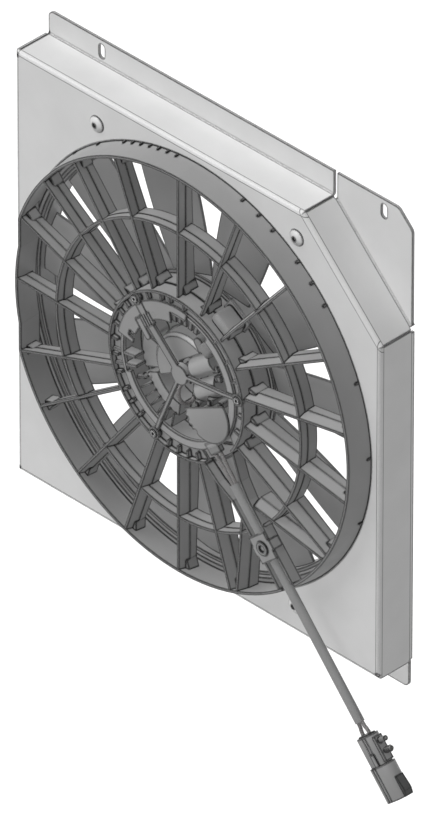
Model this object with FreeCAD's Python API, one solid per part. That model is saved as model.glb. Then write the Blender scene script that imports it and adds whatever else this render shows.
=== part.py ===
import FreeCAD, Part
import math
import os

# Radiator fan shroud: a folded sheet pan that carries an electric axial fan.
# Millimetres. X runs across the pan, Z up, and Y along the fan axis from the fan's
# guard in front (-Y) to the radiator behind (+Y). The origin is the point where the
# fan axis meets the plane in which the pan's flanges lie against the radiator.

os.makedirs("parts", exist_ok=True)
V = FreeCAD.Vector
AXIS = V(0, 1, 0)

# Cutters run this far past the faces they cut, and pieces that drop into a pocket clear it by EASE
OVER = 1.0
EASE = 0.3

# The two sizes that the rest follows: the barrel and the motor's hub ring in the guard
BARREL_R = 212.3
HUB_R = 83.0

# Sheet pan
SHEET = 2.5
PAN_HALF = BARREL_R + 11.2
PAN_DEPTH = 42.0
CHAMFER = 95.0
BEND_INNER = 1.5
BEND_OUTER = BEND_INNER + SHEET
SEAM = 0.9
RELIEF_R = 1.6
TOP_FLANGE = 24.0
BOTTOM_FLANGE = 29.0
FLANGE_HALF = PAN_HALF - 2.0
SIDE_WALL_SHORT = 0.5
FLANGE_CORNER_R = 6.0
CORNER_CUT = 17.0
CORNER_CUT_R = 7.0
CORNER_GAP = 3.0
CORNER_PLATE_X = PAN_HALF - 1.3
SLOT_R = 3.5
SLOT_LENGTH = 14.5
SLOT_LEFT_X = 67.5 - PAN_HALF
SLOT_RIGHT_X = PAN_HALF - 35.5
SLOT_TOP_Z = PAN_HALF + 11.7
SLOT_BOTTOM_Z = -(PAN_HALF + 14.7)

# Fan fixing
BOLT_CIRCLE_R = BARREL_R + 17.5
BOLT_ANGLE = 57.94
BOLT_R = 3.0
BOLT_HOLE_R = 3.3
HEAD_R = 8.0
HEAD_HEIGHT = 4.2
HEAD_EDGE = 1.0
SOCKET_R = 2.3
SOCKET_DEPTH = 2.2
SLEEVE_R = 5.0
NUT_R = 5.8
NUT_HEIGHT = 6.0
NUT_FLANGE_R = 8.5
NUT_FLANGE_THICK = 1.5
BOLT_TAIL = 2.0

# Fan housing: barrel, step and throat
RIM_R = BARREL_R - 3.3
WALL = 2.8
RIM_STAND = 23.5
FLAT_X = BARREL_R - 15.3
BULGE_R = BARREL_R - 11.1
FLAT_WEB = 2.0
STEP_BEHIND_PANEL = 1.0
STEP_THICK = 3.0
THROAT_BORE_R = BARREL_R - 7.6
THROAT_WALL = 2.5
HOUSING_BACK = 32.0
LIP_R = BARREL_R - 1.3
LIP_THICK = 2.0
PANEL_HOLE_GAP = 1.0
LUG_R = 13.0
LUG_THICK = 6.0
NIB_ANGLES = (42, 48, 54, 63.5, 68.5, 74, 96, 99, 102, 105, 108, 111, 114, 124, 134, 22, 2, -18)
NIB_WIDTH = 1.6
NIB_LENGTH = 4.0
NIB_PROUD = 1.2

# Guard: vanes, rings and hub
VANE_ANGLES = (90, 70, 50, 30.5, 10.8, -9.2, -28.8, -72, -90,
               -108.5, -127, -145.5, -160.3, 178.5, 159.5, 143, 128, 112)
VANE_DEPTH = 23.5
VANE_DEPTH_AT_RIM = 18.5
VANE_FRONT = 2.4
VANE_THIN = 2.8
VANE_STEP = 0.6
VANE_STEP_AT = 10.5
VANE_BACK = 2.2
VANE_BOW = 2.4
VANE_LEAN = 3.0
FOOT_REACH = 8.0
FOOT_HALF = 6.5
FOOT_TIP_HALF = 2.0
FOOT_FRONT = 7.0
MID_RING_R = HUB_R + 0.528 * (BARREL_R - HUB_R)
MID_RING_WALL = 2.6
MID_RING_DEPTH = 19.0
MID_RING_STEP = 0.6
MID_RING_STEP_AT = 8.0
HUB_WALL = 2.5
HUB_PROUD = 2.5
HUB_DEPTH = 36.0
HUB_STEP = 1.2
HUB_STEP_AT = 16.0
HUB_FLANGE_R = HUB_R + 5.0
HUB_FLANGE_THICK = 2.5
POST_R = 4.2
POST_CIRCLE_R = HUB_R - 6.0
POST_DEPTH = 14.0
SHELF_BEHIND_HUB = 5.0
SHELF_THICK = 2.5
TAB_WIDTH = 2.4
TAB_BEHIND_HUB = 1.0
TAB_ANGLES = (52, 36, 22, -4, -18, 84, 97, 105, 118, 144, 154, 166, 178, 190, 203,
              215, 224, 234, 262, 271, 280, 289)

# Cable run: a straight line across the guard to the lower right
CABLE_ANGLE = -48.8
CABLE_OFFSET = -3.5
CABLE_BEHIND_RIM = 2.5
SHEATH_R = 4.5
SHEATH_BORE_R = 3.9
SHEATH_START = HUB_R + 23.0
SHEATH_END = BARREL_R + 128.2
WIRE_R = 1.8
WIRE_PITCH = 3.8
CHANNEL_WALL = 2.2
CHANNEL_LEFT = -13.5
CHANNEL_RIGHT = 9.5
CHANNEL_CLEARANCE = 0.3
CLIP_START = MID_RING_R + 2.7
CLIP_LENGTH = 26.0
CLIP_THICK = 2.0
CLIP_BOSS_R = 6.7
CLIP_BOSS_HEIGHT = 1.6
CLIP_HOOK_HALF = 5.0
GLAND_START = HUB_R - 19.0
GLAND_LENGTH = 12.0
GLAND_WIDTH = 16.0
GLAND_HEIGHT = 5.0
GLAND_CORNER_R = 1.5
GLAND_PITCH = 8.0
LEAD_STRAIGHT = 8.0
LEAD_TO_SHEATH = 10.0
LEAD_PAST_SHEATH = 1.0
LEAD_AT_PLUG = 3.3

# Connector at the end of the cable
CONNECTOR_START = SHEATH_END + 13.0
HOUSING_LENGTH = 28.5
HOUSING_WIDTH = 22.0
HOUSING_THICK = 15.0
HOUSING_CORNER_R = 4.0
KEY_LENGTH = 12.0
KEY_WIDTH = 4.0
KEY_SIDE = -6.5
KEY_PROUD = 1.2
SHELL_LENGTH = 33.5
SHELL_WIDTH = 27.6
SHELL_THICK = 18.0
SHELL_CORNER_R = 5.0
SHELL_WALL = 2.0
SHELL_FLOOR = 4.0
SEAL_PROUD = 1.2
SEAL_DEPTH = 4.0
SEAL_WIDTH = 17.0
SEAL_THICK = 10.0
SEAL_CORNER_R = 3.0
BLADE_WIDTH = 6.3
BLADE_THICK = 0.8
BLADE_PITCH = 10.0
BLADE_LENGTH = 42.0
LATCH_WIDTH = 9.0
LATCH_LENGTH = 20.0
LATCH_HEIGHT = 3.0
LATCH_THICK = 1.2
LATCH_TOOTH = 3.0
LATCH_RAMP = 5.0
RAIL_START = 3.0
RAIL_LENGTH = 24.0
RAIL_HEIGHT = 3.0
RAIL_WIDTH = 9.0
TREE_AT = 15.0
TREE_STEM_R = 1.6
TREE_LENGTH = 11.0
TREE_FIN_R = 3.2
TREE_FINS = 3
POST_AT = 5.0
LOOM_POST_R = 2.4
LOOM_POST_LENGTH = 9.0

# Motor: fixed parts
BASE_R = HUB_R - 13.0
BASE_BEHIND_HUB = 2.3
BASE_WALL = 2.5
BASE_RING_R = BASE_R - 8.0
BASE_RING_THICK = 3.5
BASE_RING_GAPS = ((58, 82), (170, 202))
BASE_PLATE = 2.5
BASE_PLATE_Y = -38.0
BELL_R = BASE_R - 33.0
BELL_WALL = 2.5
BELL_BEVEL = 3.0
BELL_BEHIND_HUB = 11.0
BELL_OPEN = (-150, 38)
BELL_EAR = (164, 202)
BELL_EAR_REACH = 18.0
SPIDER_BOSS_R = 10.0
SPIDER_BOSS_BEHIND = 4.0
SPIDER_BEHIND_HUB = 0.5
SPIDER_ARM_THICK = 2.8
SPIDER_EAR_R = 5.0
SPIDER_ARMS = ((10, 4.0), (130, 8.5), (250, 4.0))
ARM_PAD_LENGTH = 12.0
ARM_PAD_WIDTH = 14.0
ARM_GROOVE = 1.0
SCREW_R = 1.6
SCREW_HEAD_R = 3.3
SCREW_HEAD_HEIGHT = 2.4
SCREW_SOCKET_R = 1.5
SCREW_SOCKET_DEPTH = 1.2
BOARD_THICK = 1.6
BOARD_STAND = 4.0
BOARD_GAP = 1.5
FOOT_R = 2.5
SINK_START = 206.0
SINK_END = 262.0
SINK_BASE = 4.0
SINK_BLOCK_REACH = 13.0
SINK_BLOCK_HEIGHT = 19.0
SINK_FINS = 7
SINK_FIN_THICK = 1.8
SINK_FIN_HEIGHT = 18.0
SECTOR_START = 80.0
SECTOR_NARROW_END = 97.0
SECTOR_END = 170.0
SECTOR_OVERHANG = 3.0
SECTOR_INNER_R = BASE_RING_R - 8.0
SECTOR_NARROW_R = BASE_RING_R + 3.0
PILLAR_ANGLES = (118, 161)
COVER_THICK = 1.5
ROUND_COVER_R = 28.0
ROUND_COVER_AT = BASE_R - 22.2
ROUND_COVER_ANGLE = -36.2
SCALLOPS = 14
SCALLOP_R = 2.6
CAPACITOR_R = 9.8
CAPACITOR_LENGTH = 32.0
CAPACITOR_ANGLE = 38.0
CAPACITOR_PLACES = ((14.8, 0.0), (7.0, -20.9))
FILM_CAP_START = BELL_R - 1.0
FILM_CAP_WIDTH = 10.0
FILM_CAP_GAP = 2.2
FILM_CAP_HEIGHT = 16.5
TERMINAL_AT = 11.0
TERMINAL_START = BELL_R + 1.6
TERMINAL_END = BASE_RING_R - 1.6
TERMINAL_WIDTH = 7.0
CHOKE_R = 11.0
CHOKE_BORE_R = 5.0
CHOKE_HEIGHT = 9.0
CHOKE_ANGLE = -62.0
TRANSISTOR_ANGLES = (74, 81, 88, 95, 102, 109)
TRANSISTOR_START = BASE_RING_R - 12.0
TRANSISTOR_LENGTH = 11.0
TRANSISTOR_THICK = 4.4
TRANSISTOR_HEIGHT = 15.0

# Motor: stator, bearings and rotor
STATOR_R = HUB_R - 29.0
STATOR_LENGTH = 16.0
STATOR_FRONT_Y = -31.0
TEETH = 12
TOOTH_WIDTH = 7.0
YOKE_WALL = 6.5
SHOE_THICK = 3.5
SHOE_GAP = 3.0
COIL_SIDE = 2.8
COIL_END = 1.4
TUBE_R = 13.5
BEARING_R = 11.0
BEARING_BORE_R = 4.0
BEARING_WIDTH = 7.0
OUTER_RACE_WALL = 1.8
INNER_RACE_WALL = 1.8
SHIELD_GAP = 0.1
FRONT_BEARING_Y = -49.0
REAR_BEARING_Y = -24.0
ROTOR_CUP_R = HUB_R - 23.0
ROTOR_CUP_WALL = 2.0
ROTOR_CUP_FRONT_Y = -34.0
ROTOR_CUP_BACK_Y = -10.5
AIR_GAP = 0.6
MAGNETS = 14
MAGNET_GAP = 1.5

# Fan wheel
FAN_HUB_R = HUB_R - 1.0
FAN_HUB_WALL = 2.5
FAN_HUB_BEVEL = 2.0
FAN_HUB_FRONT_Y = -29.5
FAN_RIBS = 12
FAN_RIB_THICK = 2.0
BAND_R = THROAT_BORE_R - 2.7
BAND_WALL = 2.5
BAND_LIP = 1.3
BAND_LIP_LENGTH = 1.5
BAND_FRONT_Y = -36.5
BAND_BACK_Y = -18.0
BLADES = 11
BLADE_PHASE = 107.8
BLADE_ROOT_SPAN = 29.0
BLADE_TIP_SPAN = 18.0
BLADE_ROOT_Y = -19.5
BLADE_TIP_Y = -27.0
BLADE_ROOT_RISE = 14.0
BLADE_TIP_RISE = 12.0
BLADE_CAMBER = 2.2
FAN_BLADE_THICK = 2.8
FAN_BLADE_EDGE = 1.2
FAN_SCREW_R = 2.4
FAN_SCREW_CIRCLE_R = 30.0
FAN_SCREW_HEAD_R = 4.5
FAN_SCREW_HEAD_HEIGHT = 2.6

# Places worked out from the sizes above
FLANGE_BACK_Y = 0.0
PANEL_Y = FLANGE_BACK_Y - PAN_DEPTH
PANEL_BACK_Y = PANEL_Y + SHEET
RIM_Y = PANEL_Y - RIM_STAND
STEP_Y = PANEL_BACK_Y + STEP_BEHIND_PANEL
HUB_Y = RIM_Y - HUB_PROUD
HUB_BACK_Y = HUB_Y + HUB_DEPTH
CABLE_Y = RIM_Y + CABLE_BEHIND_RIM
CHANNEL_FLOOR_Y = CABLE_Y + SHEATH_R + CHANNEL_CLEARANCE
CHANNEL_TOP_Y = CABLE_Y - SHEATH_R - CHANNEL_CLEARANCE / 3
BOLT_X = BOLT_CIRCLE_R * math.cos(math.radians(BOLT_ANGLE))
BOLT_Z = BOLT_CIRCLE_R * math.sin(math.radians(BOLT_ANGLE))
BASE_FRONT_Y = HUB_Y + BASE_BEHIND_HUB
LID_Y = BASE_FRONT_Y - COVER_THICK
SPIDER_Y = HUB_Y + SPIDER_BEHIND_HUB
EAR_BACK_Y = SPIDER_Y + SPIDER_ARM_THICK
BOARD_R = BASE_R - BASE_WALL - 0.5
SPIDER_ANGLES = [angle for angle, width in SPIDER_ARMS]
BELL_Y = HUB_Y + BELL_BEHIND_HUB
BOARD_Y = BASE_PLATE_Y - BOARD_STAND - BOARD_THICK
FAN_HUB_BACK_Y = ROTOR_CUP_BACK_Y + FAN_HUB_WALL
MAGNET_R = ROTOR_CUP_R - ROTOR_CUP_WALL
BAND_BORE_R = BAND_R - BAND_WALL


# Helpers
def write(name, shapes):
    """Writes one sub-part; a group of equal pieces stays a group of separate solids."""
    shape = shapes if isinstance(shapes, Part.Shape) else Part.makeCompound(shapes)
    shape.exportStep("parts/" + name + ".step")


def turn(shape, degrees):
    """Turns a copy about the fan axis, anticlockwise as seen from the front."""
    copy = shape.copy()
    copy.rotate(V(0, 0, 0), AXIS, -degrees)
    return copy


def disc(radius, front, back, x=0.0, z=0.0):
    return Part.makeCylinder(radius, back - front, V(x, front, z), AXIS)


def ring(outer, inner, front, back, x=0.0, z=0.0):
    return disc(outer, front, back, x, z).cut(disc(inner, front - OVER, back + OVER, x, z))


def block(x0, x1, front, back, z0, z1):
    return Part.makeBox(x1 - x0, back - front, z1 - z0, V(x0, front, z0))


def prism(points, front, back):
    """Extrudes an outline of (x, z) points from the front plane to the back plane."""
    corners = [V(x, front, z) for x, z in points]
    outline = Part.makePolygon(corners + corners[:1])
    return Part.Face(outline).extrude(V(0, back - front, 0))


def lathe(profile):
    """Revolves an outline of (radius, y) points about the fan axis."""
    corners = [V(r, y, 0) for r, y in profile]
    outline = Part.makePolygon(corners + corners[:1])
    return Part.Face(outline).revolve(V(0, 0, 0), AXIS, 360)


def polar(radius, degrees):
    return radius * math.cos(math.radians(degrees)), radius * math.sin(math.radians(degrees))


def around(shape, angles):
    return [turn(shape, angle) for angle in angles]


def even(count, start=0.0):
    return [start + 360.0 * index / count for index in range(count)]


def wedge(start, end, radius, front, back):
    """A slice about the fan axis between two angles, with straight outer chords."""
    steps = max(2, int((end - start) / 40) + 1)
    reach = radius / math.cos(math.radians((end - start) / steps / 2))
    rays = [start + (end - start) * index / steps for index in range(steps + 1)]
    return prism([(0, 0)] + [polar(reach, ray) for ray in rays], front, back)


def sector(outer, inner, front, back, start, end):
    """The part of a ring between two angles."""
    return ring(outer, inner, front, back).common(wedge(start, end, outer + OVER, front, back))


def fuse_all(shapes):
    return shapes[0].multiFuse(shapes[1:]).removeSplitter()


def edges_where(shape, test):
    return [edge for edge in shape.Edges if all(test(vertex.Point) for vertex in edge.Vertexes)]


def on_cable(shape):
    """Places a shape drawn with x along the cable, z across it and the fan axis at 0."""
    return turn(shape, CABLE_ANGLE)


def cable_point(along, across):
    x, z = polar(along, CABLE_ANGLE)
    side_x, side_z = polar(across, CABLE_ANGLE + 90)
    return x + side_x, z + side_z


# Sheet pan
def pan_outline(inset):
    half = PAN_HALF - inset
    diagonal = 2 * PAN_HALF - CHAMFER - inset * math.sqrt(2)
    return [(-half, -half), (half, -half), (half, diagonal - half),
            (diagonal - half, half), (-half, half)]


def pan_block(inset, front, back, bend):
    """The pan's outline as a block with its front edges rounded like a bend."""
    solid = prism(pan_outline(inset), front, back)
    front_edges = edges_where(solid, lambda point: abs(point.y - front) < 0.01)
    return solid.makeFillet(bend, front_edges)


def bent_flange(length, height):
    """A strip along x bent up from a wall whose outer face is at z = 0."""
    bend_y = FLANGE_BACK_Y - BEND_OUTER
    slope = math.sqrt(0.5)
    inner_mid = V(0, bend_y + BEND_INNER * slope, BEND_INNER * (1 - slope))
    outer_mid = V(0, bend_y + BEND_OUTER * slope, BEND_INNER - BEND_OUTER * slope)
    wall_outer = V(0, bend_y, 0)
    wall_inner = V(0, bend_y, -SHEET)
    front_foot = V(0, bend_y + BEND_INNER, BEND_INNER)
    back_foot = V(0, FLANGE_BACK_Y, BEND_INNER)
    front_top = V(0, bend_y + BEND_INNER, height)
    back_top = V(0, FLANGE_BACK_Y, height)
    edges = [Part.Arc(wall_outer, inner_mid, front_foot).toShape(),
             Part.makeLine(front_foot, front_top),
             Part.makeLine(front_top, back_top),
             Part.makeLine(back_top, back_foot),
             Part.Arc(back_foot, outer_mid, wall_inner).toShape(),
             Part.makeLine(wall_inner, wall_outer)]
    return Part.Face(Part.Wire(edges)).extrude(V(length, 0, 0))


def top_flange():
    right_end = PAN_HALF - CHAMFER - SEAM
    strip = bent_flange(right_end + FLANGE_HALF, TOP_FLANGE)
    strip.translate(V(-FLANGE_HALF, 0, PAN_HALF))
    top = PAN_HALF + TOP_FLANGE
    corner = edges_where(strip, lambda point: abs(point.x + FLANGE_HALF) < 0.01
                         and abs(point.z - top) < 0.01)
    return strip.makeFillet(FLANGE_CORNER_R, corner)


def bottom_flange():
    strip = bent_flange(2 * FLANGE_HALF, BOTTOM_FLANGE)
    strip = strip.mirror(V(0, 0, 0), V(0, 0, 1))
    strip.translate(V(-FLANGE_HALF, 0, -PAN_HALF))
    bottom = -PAN_HALF - BOTTOM_FLANGE
    corners = edges_where(strip, lambda point: abs(point.z - bottom) < 0.01)
    ends = [edge for edge in corners if abs(edge.Vertexes[0].X - edge.Vertexes[-1].X) < 0.01]
    return strip.makeFillet(FLANGE_CORNER_R, ends)


def corner_flange():
    """The plate that fills the corner outside the chamfered wall."""
    diagonal = 2 * PAN_HALF - CHAMFER
    foot = BEND_INNER * math.sqrt(2)
    left = PAN_HALF - CHAMFER + CORNER_GAP
    top = PAN_HALF + TOP_FLANGE
    right = CORNER_PLATE_X
    plate = prism([(left, diagonal + foot - left), (left, top), (right - CORNER_CUT, top),
                   (right, top - CORNER_CUT), (right, diagonal + foot - right)],
                  FLANGE_BACK_Y - SHEET, FLANGE_BACK_Y)
    cut_edges = edges_where(plate, lambda point: point.z > top - CORNER_CUT - 0.01
                            and point.x > right - CORNER_CUT - 0.01)
    ends = [edge for edge in cut_edges if abs(edge.Vertexes[0].Y - edge.Vertexes[-1].Y) > 1]
    plate = plate.makeFillet(CORNER_CUT_R, ends)
    strip = bent_flange(CHAMFER * math.sqrt(2) - 2 * CORNER_GAP, 2 * BEND_INNER)
    strip.translate(V(CORNER_GAP, 0, 0))
    strip.rotate(V(0, 0, 0), AXIS, 45)
    strip.translate(V(PAN_HALF - CHAMFER, 0, PAN_HALF))
    return plate.fuse(strip)


def side_wall_edges():
    """The left and right walls run on to the flange plane, where they end without a bend."""
    inner = PAN_HALF - SHEET
    bend_y = FLANGE_BACK_Y - BEND_OUTER
    back = FLANGE_BACK_Y - SIDE_WALL_SHORT
    left = block(-PAN_HALF, -inner, bend_y, back, -inner, inner)
    right = block(inner, PAN_HALF, bend_y, back, -inner, PAN_HALF - CHAMFER - SHEET)
    return [left, right]


def corner_seams():
    """Open seams and round reliefs where neighbouring walls meet."""
    front = PANEL_Y + BEND_OUTER
    inner = PAN_HALF - SHEET
    cuts = []
    for x_side, z_side in ((-1, 1), (-1, -1), (1, -1)):
        x = x_side * (inner - SEAM / 2)
        z = z_side * PAN_HALF
        cuts.append(block(x - SEAM / 2, x + SEAM / 2, front, 1, z - SHEET - 0.1, z + SHEET))
        cuts.append(disc(RELIEF_R, PANEL_Y - 1, front, x, z_side * (PAN_HALF - BEND_OUTER)))
    for x, z, tilt in ((PAN_HALF - CHAMFER, PAN_HALF, 67.5), (PAN_HALF, PAN_HALF - CHAMFER, 22.5)):
        slit = block(-2 * SHEET, SHEET, front, 1, -SEAM / 2, SEAM / 2)
        slit = turn(slit, tilt)
        slit.translate(V(x, 0, z))
        cuts.append(slit)
    return cuts


def flange_slots():
    cuts = []
    straight = SLOT_LENGTH / 2 - SLOT_R
    for x in (SLOT_LEFT_X, SLOT_RIGHT_X):
        for z in (SLOT_TOP_Z, SLOT_BOTTOM_Z):
            front, back = FLANGE_BACK_Y - 2 * SHEET, FLANGE_BACK_Y + 1
            cuts.append(block(x - SLOT_R, x + SLOT_R, front, back, z - straight, z + straight))
            cuts.append(disc(SLOT_R, front, back, x, z - straight))
            cuts.append(disc(SLOT_R, front, back, x, z + straight))
    return cuts


def bolt_places():
    return [(x, z) for x in (-BOLT_X, BOLT_X) for z in (-BOLT_Z, BOLT_Z)]


def shroud_pan():
    bend_y = FLANGE_BACK_Y - BEND_OUTER
    shell = pan_block(0, PANEL_Y, bend_y, BEND_OUTER)
    shell = shell.cut(pan_block(SHEET, PANEL_BACK_Y, 1, BEND_INNER))
    pan = fuse_all([shell, top_flange(), bottom_flange(), corner_flange()] + side_wall_edges())
    cuts = [disc(BARREL_R + PANEL_HOLE_GAP, PANEL_Y - 1, PANEL_BACK_Y + 1)]
    cuts += [disc(BOLT_HOLE_R, PANEL_Y - 1, PANEL_BACK_Y + 1, x, z) for x, z in bolt_places()]
    return pan.cut(Part.makeCompound(cuts)).cut(flange_slots()).cut(corner_seams())


# Bolts that hold the fan to the pan
def mounting_bolt(x, z):
    rise = HEAD_HEIGHT - HEAD_EDGE
    dome_r = (HEAD_R ** 2 + rise ** 2) / (2 * rise)
    dome = Part.makeSphere(dome_r, V(x, PANEL_Y - HEAD_HEIGHT + dome_r, z))
    head = disc(HEAD_R, PANEL_Y - HEAD_HEIGHT, PANEL_Y, x, z).common(dome)
    socket = prism([polar(SOCKET_R, angle) for angle in even(6)],
                   PANEL_Y - HEAD_HEIGHT - OVER, PANEL_Y - HEAD_HEIGHT + SOCKET_DEPTH)
    socket.translate(V(x, 0, z))
    shank = disc(BOLT_R, PANEL_Y, nut_back() + BOLT_TAIL, x, z)
    return head.cut(socket).fuse(shank)


def lug_back():
    return PANEL_BACK_Y + LUG_THICK


def nut_back():
    return lug_back() + NUT_HEIGHT


def mounting_nut(x, z):
    """A hexagon nut with its own flange."""
    front, back = lug_back(), nut_back()
    hexagon = prism([polar(NUT_R, angle) for angle in even(6)], front, back)
    hexagon.translate(V(x, 0, z))
    body = hexagon.fuse(disc(NUT_FLANGE_R, front, front + NUT_FLANGE_THICK, x, z))
    return body.cut(disc(BOLT_R, front - OVER, back + OVER, x, z)).removeSplitter()


def fasteners():
    places = bolt_places()
    back = lug_back()
    write("mounting_bolts", [mounting_bolt(x, z) for x, z in places])
    write("lug_sleeves", [ring(SLEEVE_R, BOLT_HOLE_R, PANEL_BACK_Y, back, x, z) for x, z in places])
    write("mounting_nuts", [mounting_nut(x, z) for x, z in places])


# Fan housing
def d_barrel(inset, front, back):
    """The front barrel's drafted round form, flattened on the left with a low bulge."""
    slope = (BARREL_R - RIM_R) / RIM_STAND
    front_r = RIM_R - inset + slope * (front - RIM_Y)
    back_r = RIM_R - inset + slope * (back - RIM_Y)
    cone = Part.makeCone(front_r, back_r, back - front, V(0, front, 0), AXIS)
    keep = block(inset - FLAT_X, 2 * BARREL_R, front - 1, back + 1, -2 * BARREL_R, 2 * BARREL_R)
    return cone.common(keep).fuse(disc(BULGE_R - inset, front, back)).removeSplitter()


def barrel_bore():
    """Everything inside the front barrel, which the guard fills."""
    return d_barrel(WALL, RIM_Y - WALL, PANEL_Y)


def cable_notch(front, back, start, end):
    """The way that the cable channel leaves through a wall, as wide as the channel inside."""
    wall = CHANNEL_WALL
    return on_cable(block(start, end, front, back, CHANNEL_LEFT + wall, CHANNEL_RIGHT - wall))


def fan_barrel():
    slope = (BARREL_R - RIM_R) / RIM_STAND
    web_y = PANEL_Y - FLAT_WEB
    step_back = STEP_Y + STEP_THICK
    back = PANEL_Y + HOUSING_BACK
    throat_r = THROAT_BORE_R + THROAT_WALL
    web = Part.makeCone(BARREL_R - slope * FLAT_WEB, BARREL_R, FLAT_WEB, V(0, web_y, 0), AXIS)
    outside = fuse_all([d_barrel(0, RIM_Y, web_y), web, disc(BARREL_R, PANEL_Y, step_back),
                        disc(throat_r, step_back, back), disc(LIP_R, back - LIP_THICK, back)])
    lugs = []
    for x, z in bolt_places():
        reach = math.hypot(x, z)
        arm = block(BARREL_R - WALL, reach, PANEL_BACK_Y, lug_back(), -LUG_R, LUG_R)
        lugs.append(turn(arm, math.degrees(math.atan2(z, x))))
        lugs.append(disc(LUG_R, PANEL_BACK_Y, lug_back(), x, z))
    bore = fuse_all([barrel_bore(), disc(BARREL_R - WALL, PANEL_Y, STEP_Y),
                     disc(THROAT_BORE_R, STEP_Y, back + OVER)])
    nib_r = BARREL_R - slope * NIB_LENGTH - WALL / 2
    nib = block(nib_r, BARREL_R + NIB_PROUD, PANEL_Y - NIB_LENGTH, PANEL_Y - EASE,
                -NIB_WIDTH / 2, NIB_WIDTH / 2)
    body = outside.multiFuse(lugs + around(nib, NIB_ANGLES)).cut(bore)
    sleeve_holes = [disc(SLEEVE_R, PANEL_Y, lug_back() + OVER, x, z) for x, z in bolt_places()]
    notch = cable_notch(RIM_Y - OVER, CHANNEL_FLOOR_Y, HUB_R, 2 * RIM_R)
    return body.cut(Part.makeCompound(sleeve_holes)).cut(notch).removeSplitter()


# Guard
def vane_blank(start, end):
    """A straight guard vane along x: a leaning plate, thin in front and stepped half way back."""
    step = RIM_Y + VANE_STEP_AT
    thick = VANE_THIN / 2 + VANE_STEP
    upper = [(RIM_Y, VANE_FRONT / 2), (step, VANE_BOW + VANE_THIN / 2),
             (step + VANE_STEP, VANE_BOW + thick), (RIM_Y + VANE_DEPTH, VANE_LEAN + VANE_BACK / 2)]
    lower = [(RIM_Y, -VANE_FRONT / 2), (step, VANE_BOW - VANE_THIN / 2),
             (step + VANE_STEP, VANE_BOW - thick), (RIM_Y + VANE_DEPTH, VANE_LEAN - VANE_BACK / 2)]
    corners = [V(start, y, z) for y, z in upper + lower[::-1]]
    return Part.Face(Part.makePolygon(corners + corners[:1])).extrude(V(end - start, 0, 0))


def vane_foot(tip, root):
    """The widened end by which a vane grows out of a ring."""
    return prism([(tip, VANE_BOW - FOOT_TIP_HALF), (root, VANE_BOW - FOOT_HALF),
                  (root, VANE_BOW + FOOT_HALF), (tip, VANE_BOW + FOOT_TIP_HALF)],
                 RIM_Y + FOOT_FRONT, RIM_Y + VANE_DEPTH)


def vane_taper():
    """What a vane lacks behind: it is deepest at the hub and shallowest at the barrel."""
    hub_back, rim_back = RIM_Y + VANE_DEPTH, RIM_Y + VANE_DEPTH_AT_RIM
    reach = 2 * FOOT_HALF
    corners = [V(HUB_R, hub_back, -reach), V(BARREL_R, rim_back, -reach),
               V(BARREL_R, hub_back + OVER, -reach), V(HUB_R, hub_back + OVER, -reach)]
    return Part.Face(Part.makePolygon(corners + corners[:1])).extrude(V(0, 0, 2 * reach))


def brace_blank(inner, outer):
    """A vane between two (x, z) points that aren't in line with the fan axis."""
    span = math.hypot(outer[0] - inner[0], outer[1] - inner[1])
    heading = math.degrees(math.atan2(outer[1] - inner[1], outer[0] - inner[0]))
    blank = turn(vane_blank(0, span), heading)
    blank.translate(V(inner[0], 0, inner[1]))
    return blank


def guard_vanes():
    bore = barrel_bore()
    hub = hub_outside()
    hub_foot = vane_foot(HUB_R + FOOT_REACH, HUB_R - HUB_WALL)
    rim_foot = vane_foot(RIM_R - WALL - FOOT_REACH, BARREL_R)
    blank = vane_blank(HUB_R - HUB_WALL, BARREL_R).multiFuse([hub_foot, rim_foot])
    blank = blank.cut(vane_taper()).removeSplitter()
    return [turn(blank, angle).cut(hub).common(bore) for angle in VANE_ANGLES]


def guard_braces(vanes):
    """Two vanes that run from the cable channel's sides to the ends of its neighbours."""
    bore = barrel_bore()
    blocked = Part.makeCompound([channel_outside()] + vanes)
    below = brace_blank(cable_point(HUB_R + 50, CHANNEL_LEFT + 2), polar(BARREL_R, -70.3))
    above = brace_blank(cable_point(HUB_R + 46, CHANNEL_RIGHT - 2), polar(BARREL_R, -30.4))
    braces = []
    for blank in (below, above):
        pieces = blank.common(bore).cut(blocked).Solids
        braces.append(max(pieces, key=lambda piece: piece.Volume))
    return braces


def guard_mid_ring(vanes):
    outer, inner = MID_RING_R, MID_RING_R - MID_RING_WALL
    step = RIM_Y + MID_RING_STEP_AT
    back = RIM_Y + MID_RING_DEPTH
    whole = lathe([(inner, RIM_Y), (outer, RIM_Y), (outer, step), (outer + MID_RING_STEP, step),
                   (outer + MID_RING_STEP, back), (inner - MID_RING_STEP, back),
                   (inner - MID_RING_STEP, step), (inner, step)])
    return whole.cut(Part.makeCompound(vanes + [channel_outside()])).Solids


def hub_outside():
    """The hub ring's outer form: a wall with a step, and a flange behind."""
    step = HUB_Y + HUB_STEP_AT
    flange = HUB_BACK_Y - HUB_FLANGE_THICK
    return fuse_all([disc(HUB_R, HUB_Y - OVER, step), disc(HUB_R + HUB_STEP, step, flange),
                     disc(HUB_FLANGE_R, flange, HUB_BACK_Y)])


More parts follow.
